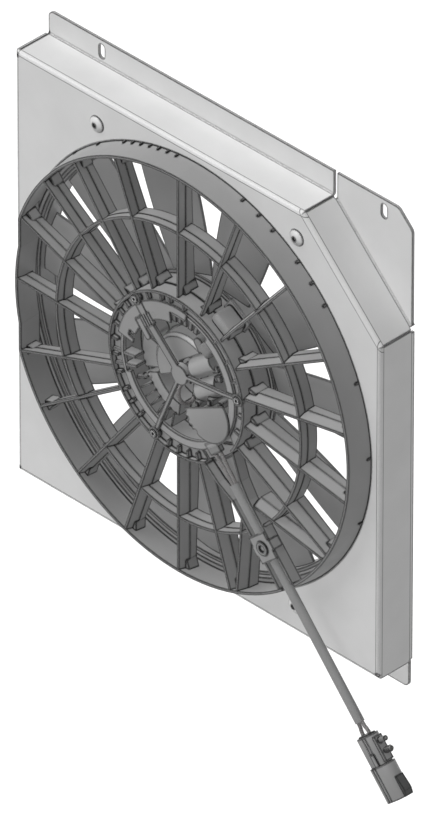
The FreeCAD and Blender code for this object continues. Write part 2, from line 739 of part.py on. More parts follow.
def guard_hub_ring():
    room = disc(HUB_R + OVER, HUB_Y - 2 * OVER, HUB_Y)
    wall = hub_outside().cut(disc(HUB_R - HUB_WALL, HUB_Y - 2 * OVER, HUB_BACK_Y + OVER)).cut(room)
    shelf_y = HUB_Y + SHELF_BEHIND_HUB
    inside = HUB_R - HUB_WALL / 2
    shelf = ring(inside, BASE_R + EASE, shelf_y, shelf_y + SHELF_THICK)
    post = disc(POST_R, EAR_BACK_Y, EAR_BACK_Y + POST_DEPTH, POST_CIRCLE_R)
    tab = block(BASE_R + SECTOR_OVERHANG + EASE, inside, HUB_Y + TAB_BEHIND_HUB, shelf_y,
                -TAB_WIDTH / 2, TAB_WIDTH / 2)
    body = wall.multiFuse([shelf] + around(post, SPIDER_ANGLES) + around(tab, TAB_ANGLES))
    ear_room = disc(SPIDER_EAR_R + EASE, HUB_Y - OVER, EAR_BACK_Y, POST_CIRCLE_R)
    screw_hole = disc(SCREW_R, HUB_Y, EAR_BACK_Y + POST_DEPTH - BASE_WALL, POST_CIRCLE_R)
    cuts = around(ear_room, SPIDER_ANGLES) + around(screw_hole, SPIDER_ANGLES)
    return body.cut(Part.makeCompound(cuts)).cut(channel_inside()).removeSplitter()


# Cable channel and clip
def channel_outline(shrink):
    """The channel seen from the front: a funnel at the hub that narrows to a straight trough."""
    left, right = CHANNEL_LEFT + shrink, CHANNEL_RIGHT - shrink
    start, end = HUB_R - 30, BARREL_R + 20
    return [(start, left - 12), (HUB_R, left - 9.5), (HUB_R + 16, left - 7), (HUB_R + 36, left),
            (end, left), (end, right), (HUB_R + 41, right),
            (HUB_R + 23, right + 3), (HUB_R - 3, right + 13), (start, right + 20)]


def channel_outside():
    return on_cable(prism(channel_outline(0), CHANNEL_TOP_Y, CHANNEL_FLOOR_Y + CHANNEL_WALL))


def channel_inside():
    return on_cable(prism(channel_outline(CHANNEL_WALL), HUB_Y - 5, CHANNEL_FLOOR_Y))


def cable_channel():
    trough = channel_outside().cut(channel_inside())
    trough = trough.cut(disc(HUB_R, HUB_Y - 5, HUB_BACK_Y))
    trough = trough.common(barrel_bore())
    return max(trough.Solids, key=lambda piece: piece.Volume)


def channel_clip():
    """A snap-on bridge that keeps the cable in the channel."""
    centre = (CHANNEL_LEFT + CHANNEL_RIGHT) / 2
    front = CHANNEL_TOP_Y - CLIP_THICK
    middle = CLIP_START + CLIP_LENGTH / 2
    plate = block(CLIP_START, CLIP_START + CLIP_LENGTH, front, CHANNEL_TOP_Y,
                  CHANNEL_LEFT, CHANNEL_RIGHT)
    boss = disc(CLIP_BOSS_R, front - CLIP_BOSS_HEIGHT, front, middle, centre)
    eye = disc(CLIP_BOSS_R / 2, front - CLIP_BOSS_HEIGHT, front, middle, centre)
    hooks = []
    for edge, side in ((CHANNEL_LEFT, -1), (CHANNEL_RIGHT, 1)):
        low, high = sorted((edge, edge + side * CLIP_THICK))
        hooks.append(block(middle - CLIP_HOOK_HALF, middle + CLIP_HOOK_HALF, front,
                           CHANNEL_FLOOR_Y, low, high))
    return on_cable(plate.multiFuse([boss] + hooks).cut(eye).removeSplitter())


# Leads, sheath and gland
def tube_path(points, bend_share=0.45):
    """Straight runs joined by tangent arcs, each as large as its two runs allow."""
    edges = []
    start = points[0]
    for before, corner, after in zip(points, points[1:], points[2:]):
        inward, outward = before - corner, after - corner
        turn_angle = math.pi - inward.getAngle(outward)
        shorter = min(inward.Length, outward.Length)
        radius = bend_share * shorter / math.tan(turn_angle / 2)
        reach = bend_share * shorter
        inward.normalize()
        outward.normalize()
        first, last = corner + inward * reach, corner + outward * reach
        bisector = inward + outward
        bisector.normalize()
        depth = radius / math.cos(turn_angle / 2) - radius
        edges.append(Part.LineSegment(start, first).toShape())
        edges.append(Part.Arc(first, corner + bisector * depth, last).toShape())
        start = last
    edges.append(Part.LineSegment(start, points[-1]).toShape())
    return Part.Wire(edges)


def round_sweep(path, radius):
    first = path.Edges[0]
    start = first.valueAt(first.FirstParameter)
    heading = first.tangentAt(first.FirstParameter)
    profile = Part.Wire([Part.makeCircle(radius, start, heading)])
    return path.makePipeShell([profile], True, False)


def lead_points(side):
    """One lead: out of the gland, beside its twin through the sheath, into the connector."""
    close = CABLE_OFFSET + side * WIRE_PITCH / 2
    wide = CABLE_OFFSET + side * GLAND_PITCH / 2
    plug = CABLE_OFFSET + side * BLADE_PITCH / 2
    gland_end = GLAND_START + GLAND_LENGTH
    run = [(gland_end, wide), (gland_end + LEAD_STRAIGHT, wide),
           (SHEATH_START - LEAD_TO_SHEATH, close), (SHEATH_END + LEAD_PAST_SHEATH, close),
           (CONNECTOR_START - SEAL_PROUD - LEAD_AT_PLUG, plug), (CONNECTOR_START - SEAL_PROUD, plug)]
    return [V(*place_on_cable(along, across)) for along, across in run]


def place_on_cable(along, across):
    x, z = cable_point(along, across)
    return x, CABLE_Y, z


def lead(side):
    return round_sweep(tube_path(lead_points(side)), WIRE_R)


def cable_sheath():
    start = V(*place_on_cable(SHEATH_START, CABLE_OFFSET))
    end = V(*place_on_cable(SHEATH_END, CABLE_OFFSET))
    run = end - start
    outer = Part.makeCylinder(SHEATH_R, run.Length, start, run)
    return outer.cut(Part.makeCylinder(SHEATH_BORE_R, run.Length, start, run))


def gland_block():
    across = GLAND_WIDTH / 2
    deep = GLAND_HEIGHT / 2
    return block(GLAND_START, GLAND_START + GLAND_LENGTH, CABLE_Y - deep, CABLE_Y + deep,
                 CABLE_OFFSET - across, CABLE_OFFSET + across)


def cable_gland():
    body = gland_block()
    long_edges = edges_where(body, lambda point: point.x > GLAND_START + GLAND_LENGTH - 0.01)
    return on_cable(body.makeFillet(GLAND_CORNER_R, long_edges))


# Connector
def rounded_block(x0, x1, thick, width, radius):
    """A block along the cable line, round along its four long edges."""
    body = block(x0, x1, CABLE_Y - thick / 2, CABLE_Y + thick / 2,
                 CABLE_OFFSET - width / 2, CABLE_OFFSET + width / 2)
    long_edges = [edge for edge in body.Edges
                  if abs(edge.Vertexes[0].X - edge.Vertexes[-1].X) > 0.01]
    return body.makeFillet(radius, long_edges)


def connector_blades():
    start = CONNECTOR_START + SEAL_DEPTH
    blades = []
    for side in (-1, 1):
        centre = CABLE_OFFSET + side * BLADE_PITCH / 2
        blade = block(start, start + BLADE_LENGTH, CABLE_Y - BLADE_THICK / 2,
                      CABLE_Y + BLADE_THICK / 2, centre - BLADE_WIDTH / 2, centre + BLADE_WIDTH / 2)
        blades.append(blade)
    return blades


def connector_seal():
    return rounded_block(CONNECTOR_START - SEAL_PROUD, CONNECTOR_START + SEAL_DEPTH,
                         SEAL_THICK, SEAL_WIDTH, SEAL_CORNER_R)


def connector_housing():
    end = CONNECTOR_START + HOUSING_LENGTH
    body = rounded_block(CONNECTOR_START, end, HOUSING_THICK, HOUSING_WIDTH, HOUSING_CORNER_R)
    key_side = CABLE_OFFSET + KEY_SIDE
    key = block(end - KEY_LENGTH, end, CABLE_Y - HOUSING_THICK / 2 - KEY_PROUD, CABLE_Y,
                key_side, key_side + KEY_WIDTH)
    return body.fuse(key).cut(connector_seal()).cut(Part.makeCompound(connector_blades()))


def connector_shell():
    start = CONNECTOR_START + HOUSING_LENGTH
    end = start + SHELL_LENGTH
    body = rounded_block(start, end, SHELL_THICK, SHELL_WIDTH, SHELL_CORNER_R)
    cavity = rounded_block(start + SHELL_FLOOR, end + OVER, SHELL_THICK - 2 * SHELL_WALL,
                           SHELL_WIDTH - 2 * SHELL_WALL, SHELL_CORNER_R - SHELL_WALL)
    return body.cut(cavity).cut(Part.makeCompound(connector_blades()))


def connector_latch():
    """A springy catch on the shell's right side, thicker where a mating plug locks."""
    end = CONNECTOR_START + HOUSING_LENGTH + SHELL_LENGTH
    side = CABLE_OFFSET + SHELL_WIDTH / 2
    tooth = end - LATCH_RAMP
    outline = [V(end - LATCH_LENGTH, 0, side), V(end, 0, side), V(end, 0, side + LATCH_THICK),
               V(tooth, 0, side + LATCH_HEIGHT), V(tooth - LATCH_TOOTH, 0, side + LATCH_HEIGHT),
               V(end - LATCH_LENGTH, 0, side + LATCH_THICK)]
    face = Part.Face(Part.makePolygon(outline + outline[:1]))
    tongue = face.extrude(V(0, LATCH_WIDTH, 0))
    tongue.translate(V(0, CABLE_Y - LATCH_WIDTH / 2, 0))
    return on_cable(tongue)


def loom_clip():
    """A rail on the connector's side with a ribbed post and a plain one for a body hole."""
    start = CONNECTOR_START + RAIL_START
    side = CABLE_OFFSET + HOUSING_WIDTH / 2
    out = V(0, 0, 1)
    rail = block(start, start + RAIL_LENGTH, CABLE_Y - RAIL_WIDTH / 2, CABLE_Y + RAIL_WIDTH / 2,
                 side, side + RAIL_HEIGHT)
    tree_foot = V(start + TREE_AT, CABLE_Y, side + RAIL_HEIGHT)
    post_foot = V(start + POST_AT, CABLE_Y, side + RAIL_HEIGHT)
    pieces = [Part.makeCylinder(TREE_STEM_R, TREE_LENGTH, tree_foot, out),
              Part.makeCylinder(LOOM_POST_R, LOOM_POST_LENGTH, post_foot, out)]
    step = TREE_LENGTH / (TREE_FINS + 1)
    for index in range(TREE_FINS):
        base = tree_foot + out * step * (index + 1)
        pieces.append(Part.makeCone(TREE_FIN_R, TREE_STEM_R, step, base, out))
    return on_cable(rail.multiFuse(pieces).removeSplitter())


# Motor, fixed parts
def spider_arm(angle, width):
    """An arm that rises from the centre boss to its ear on the hub ring."""
    boss_y = HUB_Y + SPIDER_BOSS_BEHIND
    front, thick = SPIDER_Y, SPIDER_ARM_THICK
    knee = BASE_RING_R - 5
    outline = [(0, boss_y), (SPIDER_BOSS_R, boss_y), (knee, front),
               (POST_CIRCLE_R, front), (POST_CIRCLE_R, front + thick),
               (knee, front + thick), (SPIDER_BOSS_R, boss_y + thick), (0, boss_y + thick)]
    corners = [V(x, y, -width / 2) for x, y in outline]
    arm = Part.Face(Part.makePolygon(corners + corners[:1])).extrude(V(0, 0, width))
    ear = disc(SPIDER_EAR_R, front, front + thick, POST_CIRCLE_R)
    hole = disc(SCREW_R, front - OVER, front + thick + OVER, POST_CIRCLE_R)
    return turn(arm.fuse(ear).cut(hole), angle)


def arm_pad(clearance):
    """The ribbed pad near the outer end of the broad arm."""
    end = BASE_RING_R - EASE
    half = ARM_PAD_WIDTH / 2 + clearance
    return block(end - ARM_PAD_LENGTH - clearance, end, SPIDER_Y - clearance,
                 EAR_BACK_Y + clearance, -half, half)


def spider_bracket():
    boss = disc(SPIDER_BOSS_R, HUB_Y + SPIDER_BOSS_BEHIND, BELL_Y)
    body = fuse_all([boss, turn(arm_pad(0), broad_arm_angle())]
                    + [spider_arm(angle, width) for angle, width in SPIDER_ARMS])
    end = BASE_RING_R - EASE
    grooves = []
    for offset in (-ARM_PAD_WIDTH / 4, 0, ARM_PAD_WIDTH / 4):
        groove = block(end - ARM_PAD_LENGTH, end, SPIDER_Y - OVER, SPIDER_Y + ARM_GROOVE,
                       offset - ARM_GROOVE / 2, offset + ARM_GROOVE / 2)
        grooves.append(turn(groove, broad_arm_angle()))
    return body.cut(Part.makeCompound(grooves))


def broad_arm_angle():
    return max(SPIDER_ARMS, key=lambda arm: arm[1])[0]


def spider_screw():
    front = SPIDER_Y
    end = EAR_BACK_Y + POST_DEPTH - SCREW_HEAD_R
    head = disc(SCREW_HEAD_R, front - SCREW_HEAD_HEIGHT, front, POST_CIRCLE_R)
    socket = prism([polar(SCREW_SOCKET_R, angle) for angle in even(6)],
                   front - SCREW_HEAD_HEIGHT, front - SCREW_HEAD_HEIGHT + SCREW_SOCKET_DEPTH)
    socket.translate(V(POST_CIRCLE_R, 0, 0))
    return head.cut(socket).fuse(disc(SCREW_R, front, end, POST_CIRCLE_R))


def arm_slots(clearance):
    """Room for the spider's arms in what they cross at the motor's front."""
    slots = []
    for angle, width in SPIDER_ARMS:
        half = width / 2 + clearance
        slot = block(BELL_R, HUB_R, HUB_Y - OVER, EAR_BACK_Y + clearance, -half, half)
        slots.append(turn(slot, angle))
    return slots


def motor_base():
    """The motor's carrier: a plate behind, a wall round it and a broken ring in front."""
    ring_back = BASE_FRONT_Y + BASE_RING_THICK
    plate_back = BASE_PLATE_Y + BASE_PLATE
    body = lathe([(BASE_RING_R, BASE_FRONT_Y), (BASE_R, BASE_FRONT_Y), (BASE_R, plate_back),
                  (TUBE_R, plate_back), (TUBE_R, BASE_PLATE_Y), (BASE_R - BASE_WALL, BASE_PLATE_Y),
                  (BASE_R - BASE_WALL, ring_back), (BASE_RING_R, ring_back)])
    gaps = [wedge(start, end, BASE_R - BASE_WALL - OVER, BASE_FRONT_Y - OVER, ring_back)
            for start, end in BASE_RING_GAPS]
    return body.cut(Part.makeCompound(arm_slots(EASE) + gaps)).cut(on_cable(gland_block()))


def heat_sink():
    """A solid block against the end bell with cooling fins outside it."""
    front = BASE_PLATE_Y - SINK_BASE
    inner = BELL_R + EASE
    block_r = inner + SINK_BLOCK_REACH
    base = sector(BOARD_R, inner, front, BASE_PLATE_Y, SINK_START, SINK_END)
    body = sector(block_r, inner, BASE_PLATE_Y - SINK_BLOCK_HEIGHT, BASE_PLATE_Y,
                  SINK_START, SINK_END)
    half = SINK_FIN_THICK / 2
    fin = block(block_r - OVER, BOARD_R - BASE_WALL, front - SINK_FIN_HEIGHT, front, -half, half)
    step = (SINK_END - SINK_START) / SINK_FINS
    angles = [SINK_START + step * (index + 0.5) for index in range(SINK_FINS)]
    return base.multiFuse([body] + around(fin, angles)).removeSplitter()


def end_bell():
    """A shallow cap over the bearing, open over the capacitors, with a flat ear on its left."""
    inner = BELL_R - BELL_WALL
    floor = BELL_Y + BELL_WALL
    cap = lathe([(0, BELL_Y), (BELL_R - BELL_BEVEL, BELL_Y), (BELL_R, BELL_Y + BELL_BEVEL),
                 (BELL_R, BASE_PLATE_Y), (inner, BASE_PLATE_Y), (inner, floor + BELL_BEVEL / 2),
                 (inner - BELL_BEVEL / 2, floor), (0, floor)])
    front, back = BELL_Y - OVER, BASE_PLATE_Y + OVER
    can_room = block(0, BELL_R + OVER, front, back, 0, CAPACITOR_R + OVER)
    opening = wedge(BELL_OPEN[0], BELL_OPEN[1], BELL_R + OVER, front, back)
    opening = opening.fuse(turn(can_room, CAPACITOR_ANGLE))
    ear = sector(BELL_R + BELL_EAR_REACH, BELL_R - BELL_WALL, BELL_Y + BELL_BEVEL,
                 BELL_Y + BELL_BEVEL + BELL_WALL, BELL_EAR[0], BELL_EAR[1])
    return cap.cut(opening).fuse(ear).removeSplitter()


def sector_cover():
    """A flat lid on the motor's ring, notched for the broad arm and the terminal cover."""
    outer = BASE_R + SECTOR_OVERHANG
    narrow = sector(outer, SECTOR_NARROW_R, LID_Y, BASE_FRONT_Y, SECTOR_START, SECTOR_NARROW_END)
    wide = sector(outer, SECTOR_INNER_R, LID_Y, BASE_FRONT_Y, SECTOR_NARROW_END, SECTOR_END)
    ear_room = disc(SPIDER_EAR_R + EASE, LID_Y - OVER, EAR_BACK_Y, POST_CIRCLE_R)
    bite = block(SECTOR_INNER_R - OVER, SECTOR_INNER_R + 7, LID_Y - OVER, BASE_FRONT_Y + OVER, -3, 3)
    cuts = arm_slots(EASE) + [turn(arm_pad(EASE), broad_arm_angle()), terminal_bar(EASE),
                              turn(ear_room, broad_arm_angle()), turn(bite, SECTOR_END - 8)]
    pieces = narrow.fuse(wide).removeSplitter().cut(Part.makeCompound(cuts)).Solids
    lids = sorted(pieces, key=lambda piece: piece.Volume)[-2:]
    pillar = disc(FOOT_R, BASE_FRONT_Y, BOARD_Y, SECTOR_INNER_R + 2 * FOOT_R)
    pillars = around(pillar, PILLAR_ANGLES)
    return [lid.fuse(pillar) for lid, pillar in zip(sorted_by_angle(lids), pillars)]


def sorted_by_angle(pieces):
    return sorted(pieces, key=lambda piece: math.atan2(piece.CenterOfMass.z, piece.CenterOfMass.x))


def terminal_bar(clearance):
    """The rounded bar beside the broad arm, under which the motor's terminals lie."""
    half = TERMINAL_WIDTH / 2 + clearance
    bar = block(TERMINAL_START - clearance, TERMINAL_END + clearance, LID_Y - clearance, BOARD_Y,
                TERMINAL_AT - half, TERMINAL_AT + half)
    inner_end = [edge for edge in edges_where(bar, lambda point: point.x < BELL_R + 2 * OVER)
                 if abs(edge.Vertexes[0].Y - edge.Vertexes[-1].Y) > OVER]
    return turn(bar.makeFillet(half - EASE, inner_end), broad_arm_angle())


def round_cover():
    """A round plate on the motor's ring, its upper left edge scalloped."""
    x, z = polar(ROUND_COVER_AT, ROUND_COVER_ANGLE)
    plate = disc(ROUND_COVER_R, LID_Y, BASE_FRONT_Y)
    bite = disc(SCALLOP_R, LID_Y - OVER, BASE_FRONT_Y + OVER, ROUND_COVER_R)
    bites = around(bite, even(SCALLOPS, 60)[:SCALLOPS // 2])
    plate = plate.cut(Part.makeCompound(bites))
    plate.translate(V(x, 0, z))
    return plate


def circuit_board():
    """A ring round the end bell that runs in to the bearing tube under the capacitors."""
    back = BOARD_Y + BOARD_THICK
    around_bell = ring(BOARD_R, BELL_R + BOARD_GAP, BOARD_Y, back)
    under_cans = sector(BELL_R + 2 * BOARD_GAP, TUBE_R + BOARD_GAP, BOARD_Y, back,
                        BELL_OPEN[0] + 4, BELL_OPEN[1] - 4)
    under_first = block(TUBE_R + BOARD_GAP, BELL_R + 2 * BOARD_GAP, BOARD_Y, back,
                        -CAPACITOR_R, CAPACITOR_R)
    sink_room = wedge(SINK_START - OVER, SINK_END + OVER, BASE_R, BOARD_Y - OVER, back + OVER)
    board = around_bell.multiFuse([under_cans, turn(under_first, CAPACITOR_ANGLE)]).cut(sink_room)
    foot = disc(FOOT_R, back, BASE_PLATE_Y, BOARD_R - 2 * FOOT_R)
    return board.multiFuse(around(foot, (-80, -20, 40, 100, 160))).removeSplitter()


def capacitor(start, across):
    can = Part.makeCylinder(CAPACITOR_R, CAPACITOR_LENGTH,
                            V(start, BOARD_Y - CAPACITOR_R, across), V(1, 0, 0))
    return turn(can, CAPACITOR_ANGLE)


def film_capacitor():
    """A low block with one rounded end, between the first capacitor and the transistors."""
    to_transistor = math.radians(TRANSISTOR_ANGLES[0] - CAPACITOR_ANGLE)
    inner = CAPACITOR_R + FILM_CAP_GAP
    outer = TRANSISTOR_START * math.sin(to_transistor) - TRANSISTOR_THICK / 2 - FILM_CAP_GAP / 2
    body = block(FILM_CAP_START, FILM_CAP_START + FILM_CAP_WIDTH, BOARD_Y - FILM_CAP_HEIGHT,
                 BOARD_Y, inner, outer)
    outer_end = [edge for edge in edges_where(body, lambda point: point.z > inner + OVER)
                 if abs(edge.Vertexes[0].Y - edge.Vertexes[-1].Y) > OVER]
    return turn(body.makeFillet(FILM_CAP_WIDTH / 2 - EASE, outer_end), CAPACITOR_ANGLE)


def choke():
    x, z = polar((BELL_R + BASE_R - BASE_WALL) / 2, CHOKE_ANGLE)
    return ring(CHOKE_R, CHOKE_BORE_R, BOARD_Y - CHOKE_HEIGHT, BOARD_Y, x, z)


def transistors():
    half = TRANSISTOR_THICK / 2
    body = block(TRANSISTOR_START, TRANSISTOR_START + TRANSISTOR_LENGTH,
                 BOARD_Y - TRANSISTOR_HEIGHT, BOARD_Y, -half, half)
    return around(body, TRANSISTOR_ANGLES)


# Motor, stator and bearings
def stator_core():
    front, back = STATOR_FRONT_Y, STATOR_FRONT_Y + STATOR_LENGTH
    yoke = ring(TUBE_R + YOKE_WALL, TUBE_R, front, back)
    half = TOOTH_WIDTH / 2
    tooth = block(TUBE_R + YOKE_WALL - 1, STATOR_R - SHOE_THICK / 2, front, back, -half, half)
    shoes = ring(STATOR_R, STATOR_R - SHOE_THICK, front, back)
    gap = block(STATOR_R - 2 * SHOE_THICK, STATOR_R + 2, front - 1, back + 1,
                -SHOE_GAP / 2, SHOE_GAP / 2)
    shoes = shoes.cut(Part.makeCompound(around(gap, even(TEETH, 180.0 / TEETH))))
    return fuse_all([yoke] + around(tooth, even(TEETH)) + shoes.Solids)


def stator_windings():
    front, back = STATOR_FRONT_Y, STATOR_FRONT_Y + STATOR_LENGTH
    inner = TUBE_R + 2 * YOKE_WALL
    outer = STATOR_R - SHOE_THICK - 1
    half = TOOTH_WIDTH / 2
    coil = block(inner, outer, front - COIL_END, back + COIL_END, -half - COIL_SIDE, half + COIL_SIDE)
    coil = coil.cut(block(inner - 1, outer + 1, front, back, -half, half))
    return around(coil, even(TEETH))


def bearing_tube():
    front = FRONT_BEARING_Y - 1
    shoulder_front = FRONT_BEARING_Y + BEARING_WIDTH
    back = REAR_BEARING_Y + BEARING_WIDTH + 1
    shoulder_r = BEARING_R - OUTER_RACE_WALL / 2
    return lathe([(BEARING_R, front), (TUBE_R, front), (TUBE_R, back), (BEARING_R, back),
                  (BEARING_R, REAR_BEARING_Y), (shoulder_r, REAR_BEARING_Y),
                  (shoulder_r, shoulder_front), (BEARING_R, shoulder_front)])


def bearings():
    """Two shielded ball bearings; balls and shields are one with the outer race."""
    inner_r = BEARING_BORE_R + INNER_RACE_WALL
    outer, inner = [], []
    for front in (FRONT_BEARING_Y, REAR_BEARING_Y):
        back = front + BEARING_WIDTH
        outer.append(ring(BEARING_R, inner_r + SHIELD_GAP, front, back))
        inner.append(ring(inner_r, BEARING_BORE_R, front, back))
    write("bearing_outer_races", outer)
    write("bearing_inner_races", inner)


def rotor_cup():
    back, front = ROTOR_CUP_BACK_Y, ROTOR_CUP_FRONT_Y
    floor = back - ROTOR_CUP_WALL
    boss_end = REAR_BEARING_Y + BEARING_WIDTH
    boss_r = BEARING_BORE_R + INNER_RACE_WALL
    cup = lathe([(MAGNET_R, front), (ROTOR_CUP_R, front), (ROTOR_CUP_R, back),
                 (BEARING_BORE_R, back), (BEARING_BORE_R, boss_end), (boss_r, boss_end),
                 (boss_r, floor), (MAGNET_R, floor)])
    hole = disc(FAN_SCREW_R, floor - 1, back + 1, FAN_SCREW_CIRCLE_R)
    return cup.cut(Part.makeCompound(around(hole, even(3, 30))))


def rotor_magnets():
    front = STATOR_FRONT_Y - 1
    back = STATOR_FRONT_Y + STATOR_LENGTH + 1
    whole = ring(MAGNET_R, STATOR_R + AIR_GAP, front, back)
    gap = block(STATOR_R - 5, MAGNET_R + 5, front - 1, back + 1, -MAGNET_GAP / 2, MAGNET_GAP / 2)
    return whole.cut(Part.makeCompound(around(gap, even(MAGNETS)))).Solids


def motor_shaft():
    return disc(BEARING_BORE_R, FRONT_BEARING_Y - 3, ROTOR_CUP_BACK_Y)


def shaft_clip():
    clip = ring(BEARING_BORE_R + INNER_RACE_WALL, BEARING_BORE_R,
                FRONT_BEARING_Y - 1, FRONT_BEARING_Y)
    return clip.cut(block(0, 10, FRONT_BEARING_Y - 2, FRONT_BEARING_Y + 1, -1.5, 1.5))


# Fan wheel
def blade_span(radius):
    share = (radius - FAN_HUB_R) / (BAND_BORE_R - FAN_HUB_R)
    return BLADE_ROOT_SPAN + share * (BLADE_TIP_SPAN - BLADE_ROOT_SPAN)


def blade_section(radius):
    """A bowed aerofoil slice of a fan blade, square to the blade's long axis."""
    share = (radius - FAN_HUB_R) / (BAND_BORE_R - FAN_HUB_R)
    centre = BLADE_ROOT_Y + share * (BLADE_TIP_Y - BLADE_ROOT_Y)
    rise = BLADE_ROOT_RISE + share * (BLADE_TIP_RISE - BLADE_ROOT_RISE)
    half = radius * math.tan(math.radians(blade_span(radius) / 2))
    edge, body = FAN_BLADE_EDGE / 2, FAN_BLADE_THICK / 2
    lead_front = V(-half, centre + rise / 2 - edge, radius)
    lead_back = V(-half, centre + rise / 2 + edge, radius)
    trail_front = V(half, centre - rise / 2 - edge, radius)
    trail_back = V(half, centre - rise / 2 + edge, radius)
    front_mid = V(0, centre - BLADE_CAMBER - body, radius)
    back_mid = V(0, centre - BLADE_CAMBER + body, radius)
    return Part.Wire([Part.Arc(lead_back, back_mid, trail_back).toShape(),
                      Part.makeLine(trail_back, trail_front),
                      Part.Arc(trail_front, front_mid, lead_front).toShape(),
                      Part.makeLine(lead_front, lead_back)])


def fan_blades():
    radii = (FAN_HUB_R - 10, (FAN_HUB_R + BAND_R) / 2, BAND_R + 6)
    blank = Part.makeLoft([blade_section(radius) for radius in radii], True, True)
    air_path = ring(BAND_BORE_R, FAN_HUB_R, BAND_FRONT_Y - 10, FAN_HUB_BACK_Y + 5)
    blade = max(blank.common(air_path).Solids, key=lambda piece: piece.Volume)
    return around(blade, even(BLADES, BLADE_PHASE - 90))


def fan_band():
    lip_end = BAND_FRONT_Y + BAND_LIP_LENGTH
    lip_r = BAND_R + BAND_LIP
    return lathe([(BAND_BORE_R, BAND_FRONT_Y), (lip_r, BAND_FRONT_Y), (lip_r, lip_end),
                  (BAND_R, lip_end), (BAND_R, BAND_BACK_Y), (BAND_BORE_R, BAND_BACK_Y)])


def fan_hub():
    inner = FAN_HUB_R - FAN_HUB_WALL
    back, floor = FAN_HUB_BACK_Y, ROTOR_CUP_BACK_Y
    bevel, eye = FAN_HUB_BEVEL, BEARING_BORE_R + FAN_HUB_BEVEL
    shell = lathe([(inner, FAN_HUB_FRONT_Y), (FAN_HUB_R, FAN_HUB_FRONT_Y),
                   (FAN_HUB_R, back - bevel), (FAN_HUB_R - bevel, back), (eye, back), (eye, floor),
                   (inner, floor)])
    rib = block(ROTOR_CUP_R, inner + OVER, FAN_HUB_FRONT_Y + 6, floor + FAN_HUB_WALL / 2,
                -FAN_RIB_THICK / 2, FAN_RIB_THICK / 2)
    body = shell.multiFuse(around(rib, even(FAN_RIBS)))
    hole = disc(FAN_SCREW_R, floor - 1, back + 1, FAN_SCREW_CIRCLE_R)
    cup_room = disc(ROTOR_CUP_R, ROTOR_CUP_FRONT_Y, floor)
    return body.cut(cup_room).cut(Part.makeCompound(around(hole, even(3, 30)))).removeSplitter()


def fan_screw():
    back = FAN_HUB_BACK_Y
    head = disc(FAN_SCREW_HEAD_R, back, back + FAN_SCREW_HEAD_HEIGHT, FAN_SCREW_CIRCLE_R)
    end = ROTOR_CUP_BACK_Y - ROTOR_CUP_WALL
    return head.fuse(disc(FAN_SCREW_R, end, back, FAN_SCREW_CIRCLE_R)).removeSplitter()


# Build
write("shroud_pan", shroud_pan())
fasteners()
write("fan_barrel", fan_barrel())
VANES = guard_vanes()
VANES += guard_braces(VANES)
write("guard_vanes", VANES)
write("guard_mid_ring", guard_mid_ring(VANES))
write("guard_hub_ring", guard_hub_ring())
write("cable_channel", cable_channel())
write("channel_clip", channel_clip())
write("cable_gland", cable_gland())
write("lead_positive", lead(1))
write("lead_negative", lead(-1))
write("cable_sheath", cable_sheath())
write("connector_seal", on_cable(connector_seal()))
write("connector_housing", on_cable(connector_housing()))
write("connector_shell", on_cable(connector_shell()))
write("connector_blades", [on_cable(blade) for blade in connector_blades()])
write("connector_latch", connector_latch())
write("loom_clip", loom_clip())
write("motor_base", motor_base())
write("heat_sink", heat_sink())
write("end_bell", end_bell())
write("spider_bracket", spider_bracket())
write("spider_screws", around(spider_screw(), SPIDER_ANGLES))
write("sector_cover", sector_cover())
write("round_cover", round_cover())
write("circuit_board", circuit_board())
write("terminal_cover", terminal_bar(0))
write("capacitors", [capacitor(start, across) for start, across in CAPACITOR_PLACES])
write("film_capacitor", film_capacitor())
write("choke", choke())
write("transistors", transistors())
write("bearing_tube", bearing_tube())
bearings()
write("stator_core", stator_core())
write("stator_windings", stator_windings())
write("rotor_cup", rotor_cup())
write("rotor_magnets", rotor_magnets())
write("motor_shaft", motor_shaft())
write("shaft_clip", shaft_clip())
write("fan_hub", fan_hub())
write("fan_blades", fan_blades())
write("fan_band", fan_band())
write("fan_screws", around(fan_screw(), even(3, 30)))
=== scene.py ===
import math

import bpy
from mathutils import Matrix, Vector


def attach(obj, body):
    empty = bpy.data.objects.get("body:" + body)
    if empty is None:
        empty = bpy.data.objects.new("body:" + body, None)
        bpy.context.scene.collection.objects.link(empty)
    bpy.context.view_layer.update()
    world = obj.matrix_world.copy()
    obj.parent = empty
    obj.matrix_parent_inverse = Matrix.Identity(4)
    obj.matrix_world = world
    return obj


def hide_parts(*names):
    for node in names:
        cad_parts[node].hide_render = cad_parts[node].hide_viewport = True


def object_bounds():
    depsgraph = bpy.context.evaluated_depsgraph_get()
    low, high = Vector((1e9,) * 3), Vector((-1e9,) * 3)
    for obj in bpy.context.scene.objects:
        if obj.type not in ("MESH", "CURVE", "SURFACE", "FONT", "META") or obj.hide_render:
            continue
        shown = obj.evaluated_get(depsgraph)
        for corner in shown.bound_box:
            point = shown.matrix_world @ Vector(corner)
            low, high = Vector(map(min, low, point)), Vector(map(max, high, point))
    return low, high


# Radiator fan shroud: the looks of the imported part. Metres, in the part's own frame:
# X across the pan, Z up, and Y along the fan axis from the guard (-Y) to the radiator.

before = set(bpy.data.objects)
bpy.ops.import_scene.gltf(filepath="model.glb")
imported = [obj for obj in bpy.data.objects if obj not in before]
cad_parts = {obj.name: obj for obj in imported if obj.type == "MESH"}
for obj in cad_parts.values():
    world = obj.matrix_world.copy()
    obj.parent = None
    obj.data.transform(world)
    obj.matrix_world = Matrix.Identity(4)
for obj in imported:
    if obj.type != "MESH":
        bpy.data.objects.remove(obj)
cad_low, cad_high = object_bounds()
bpy.ops.object.select_all(action="DESELECT")

MM = 0.001

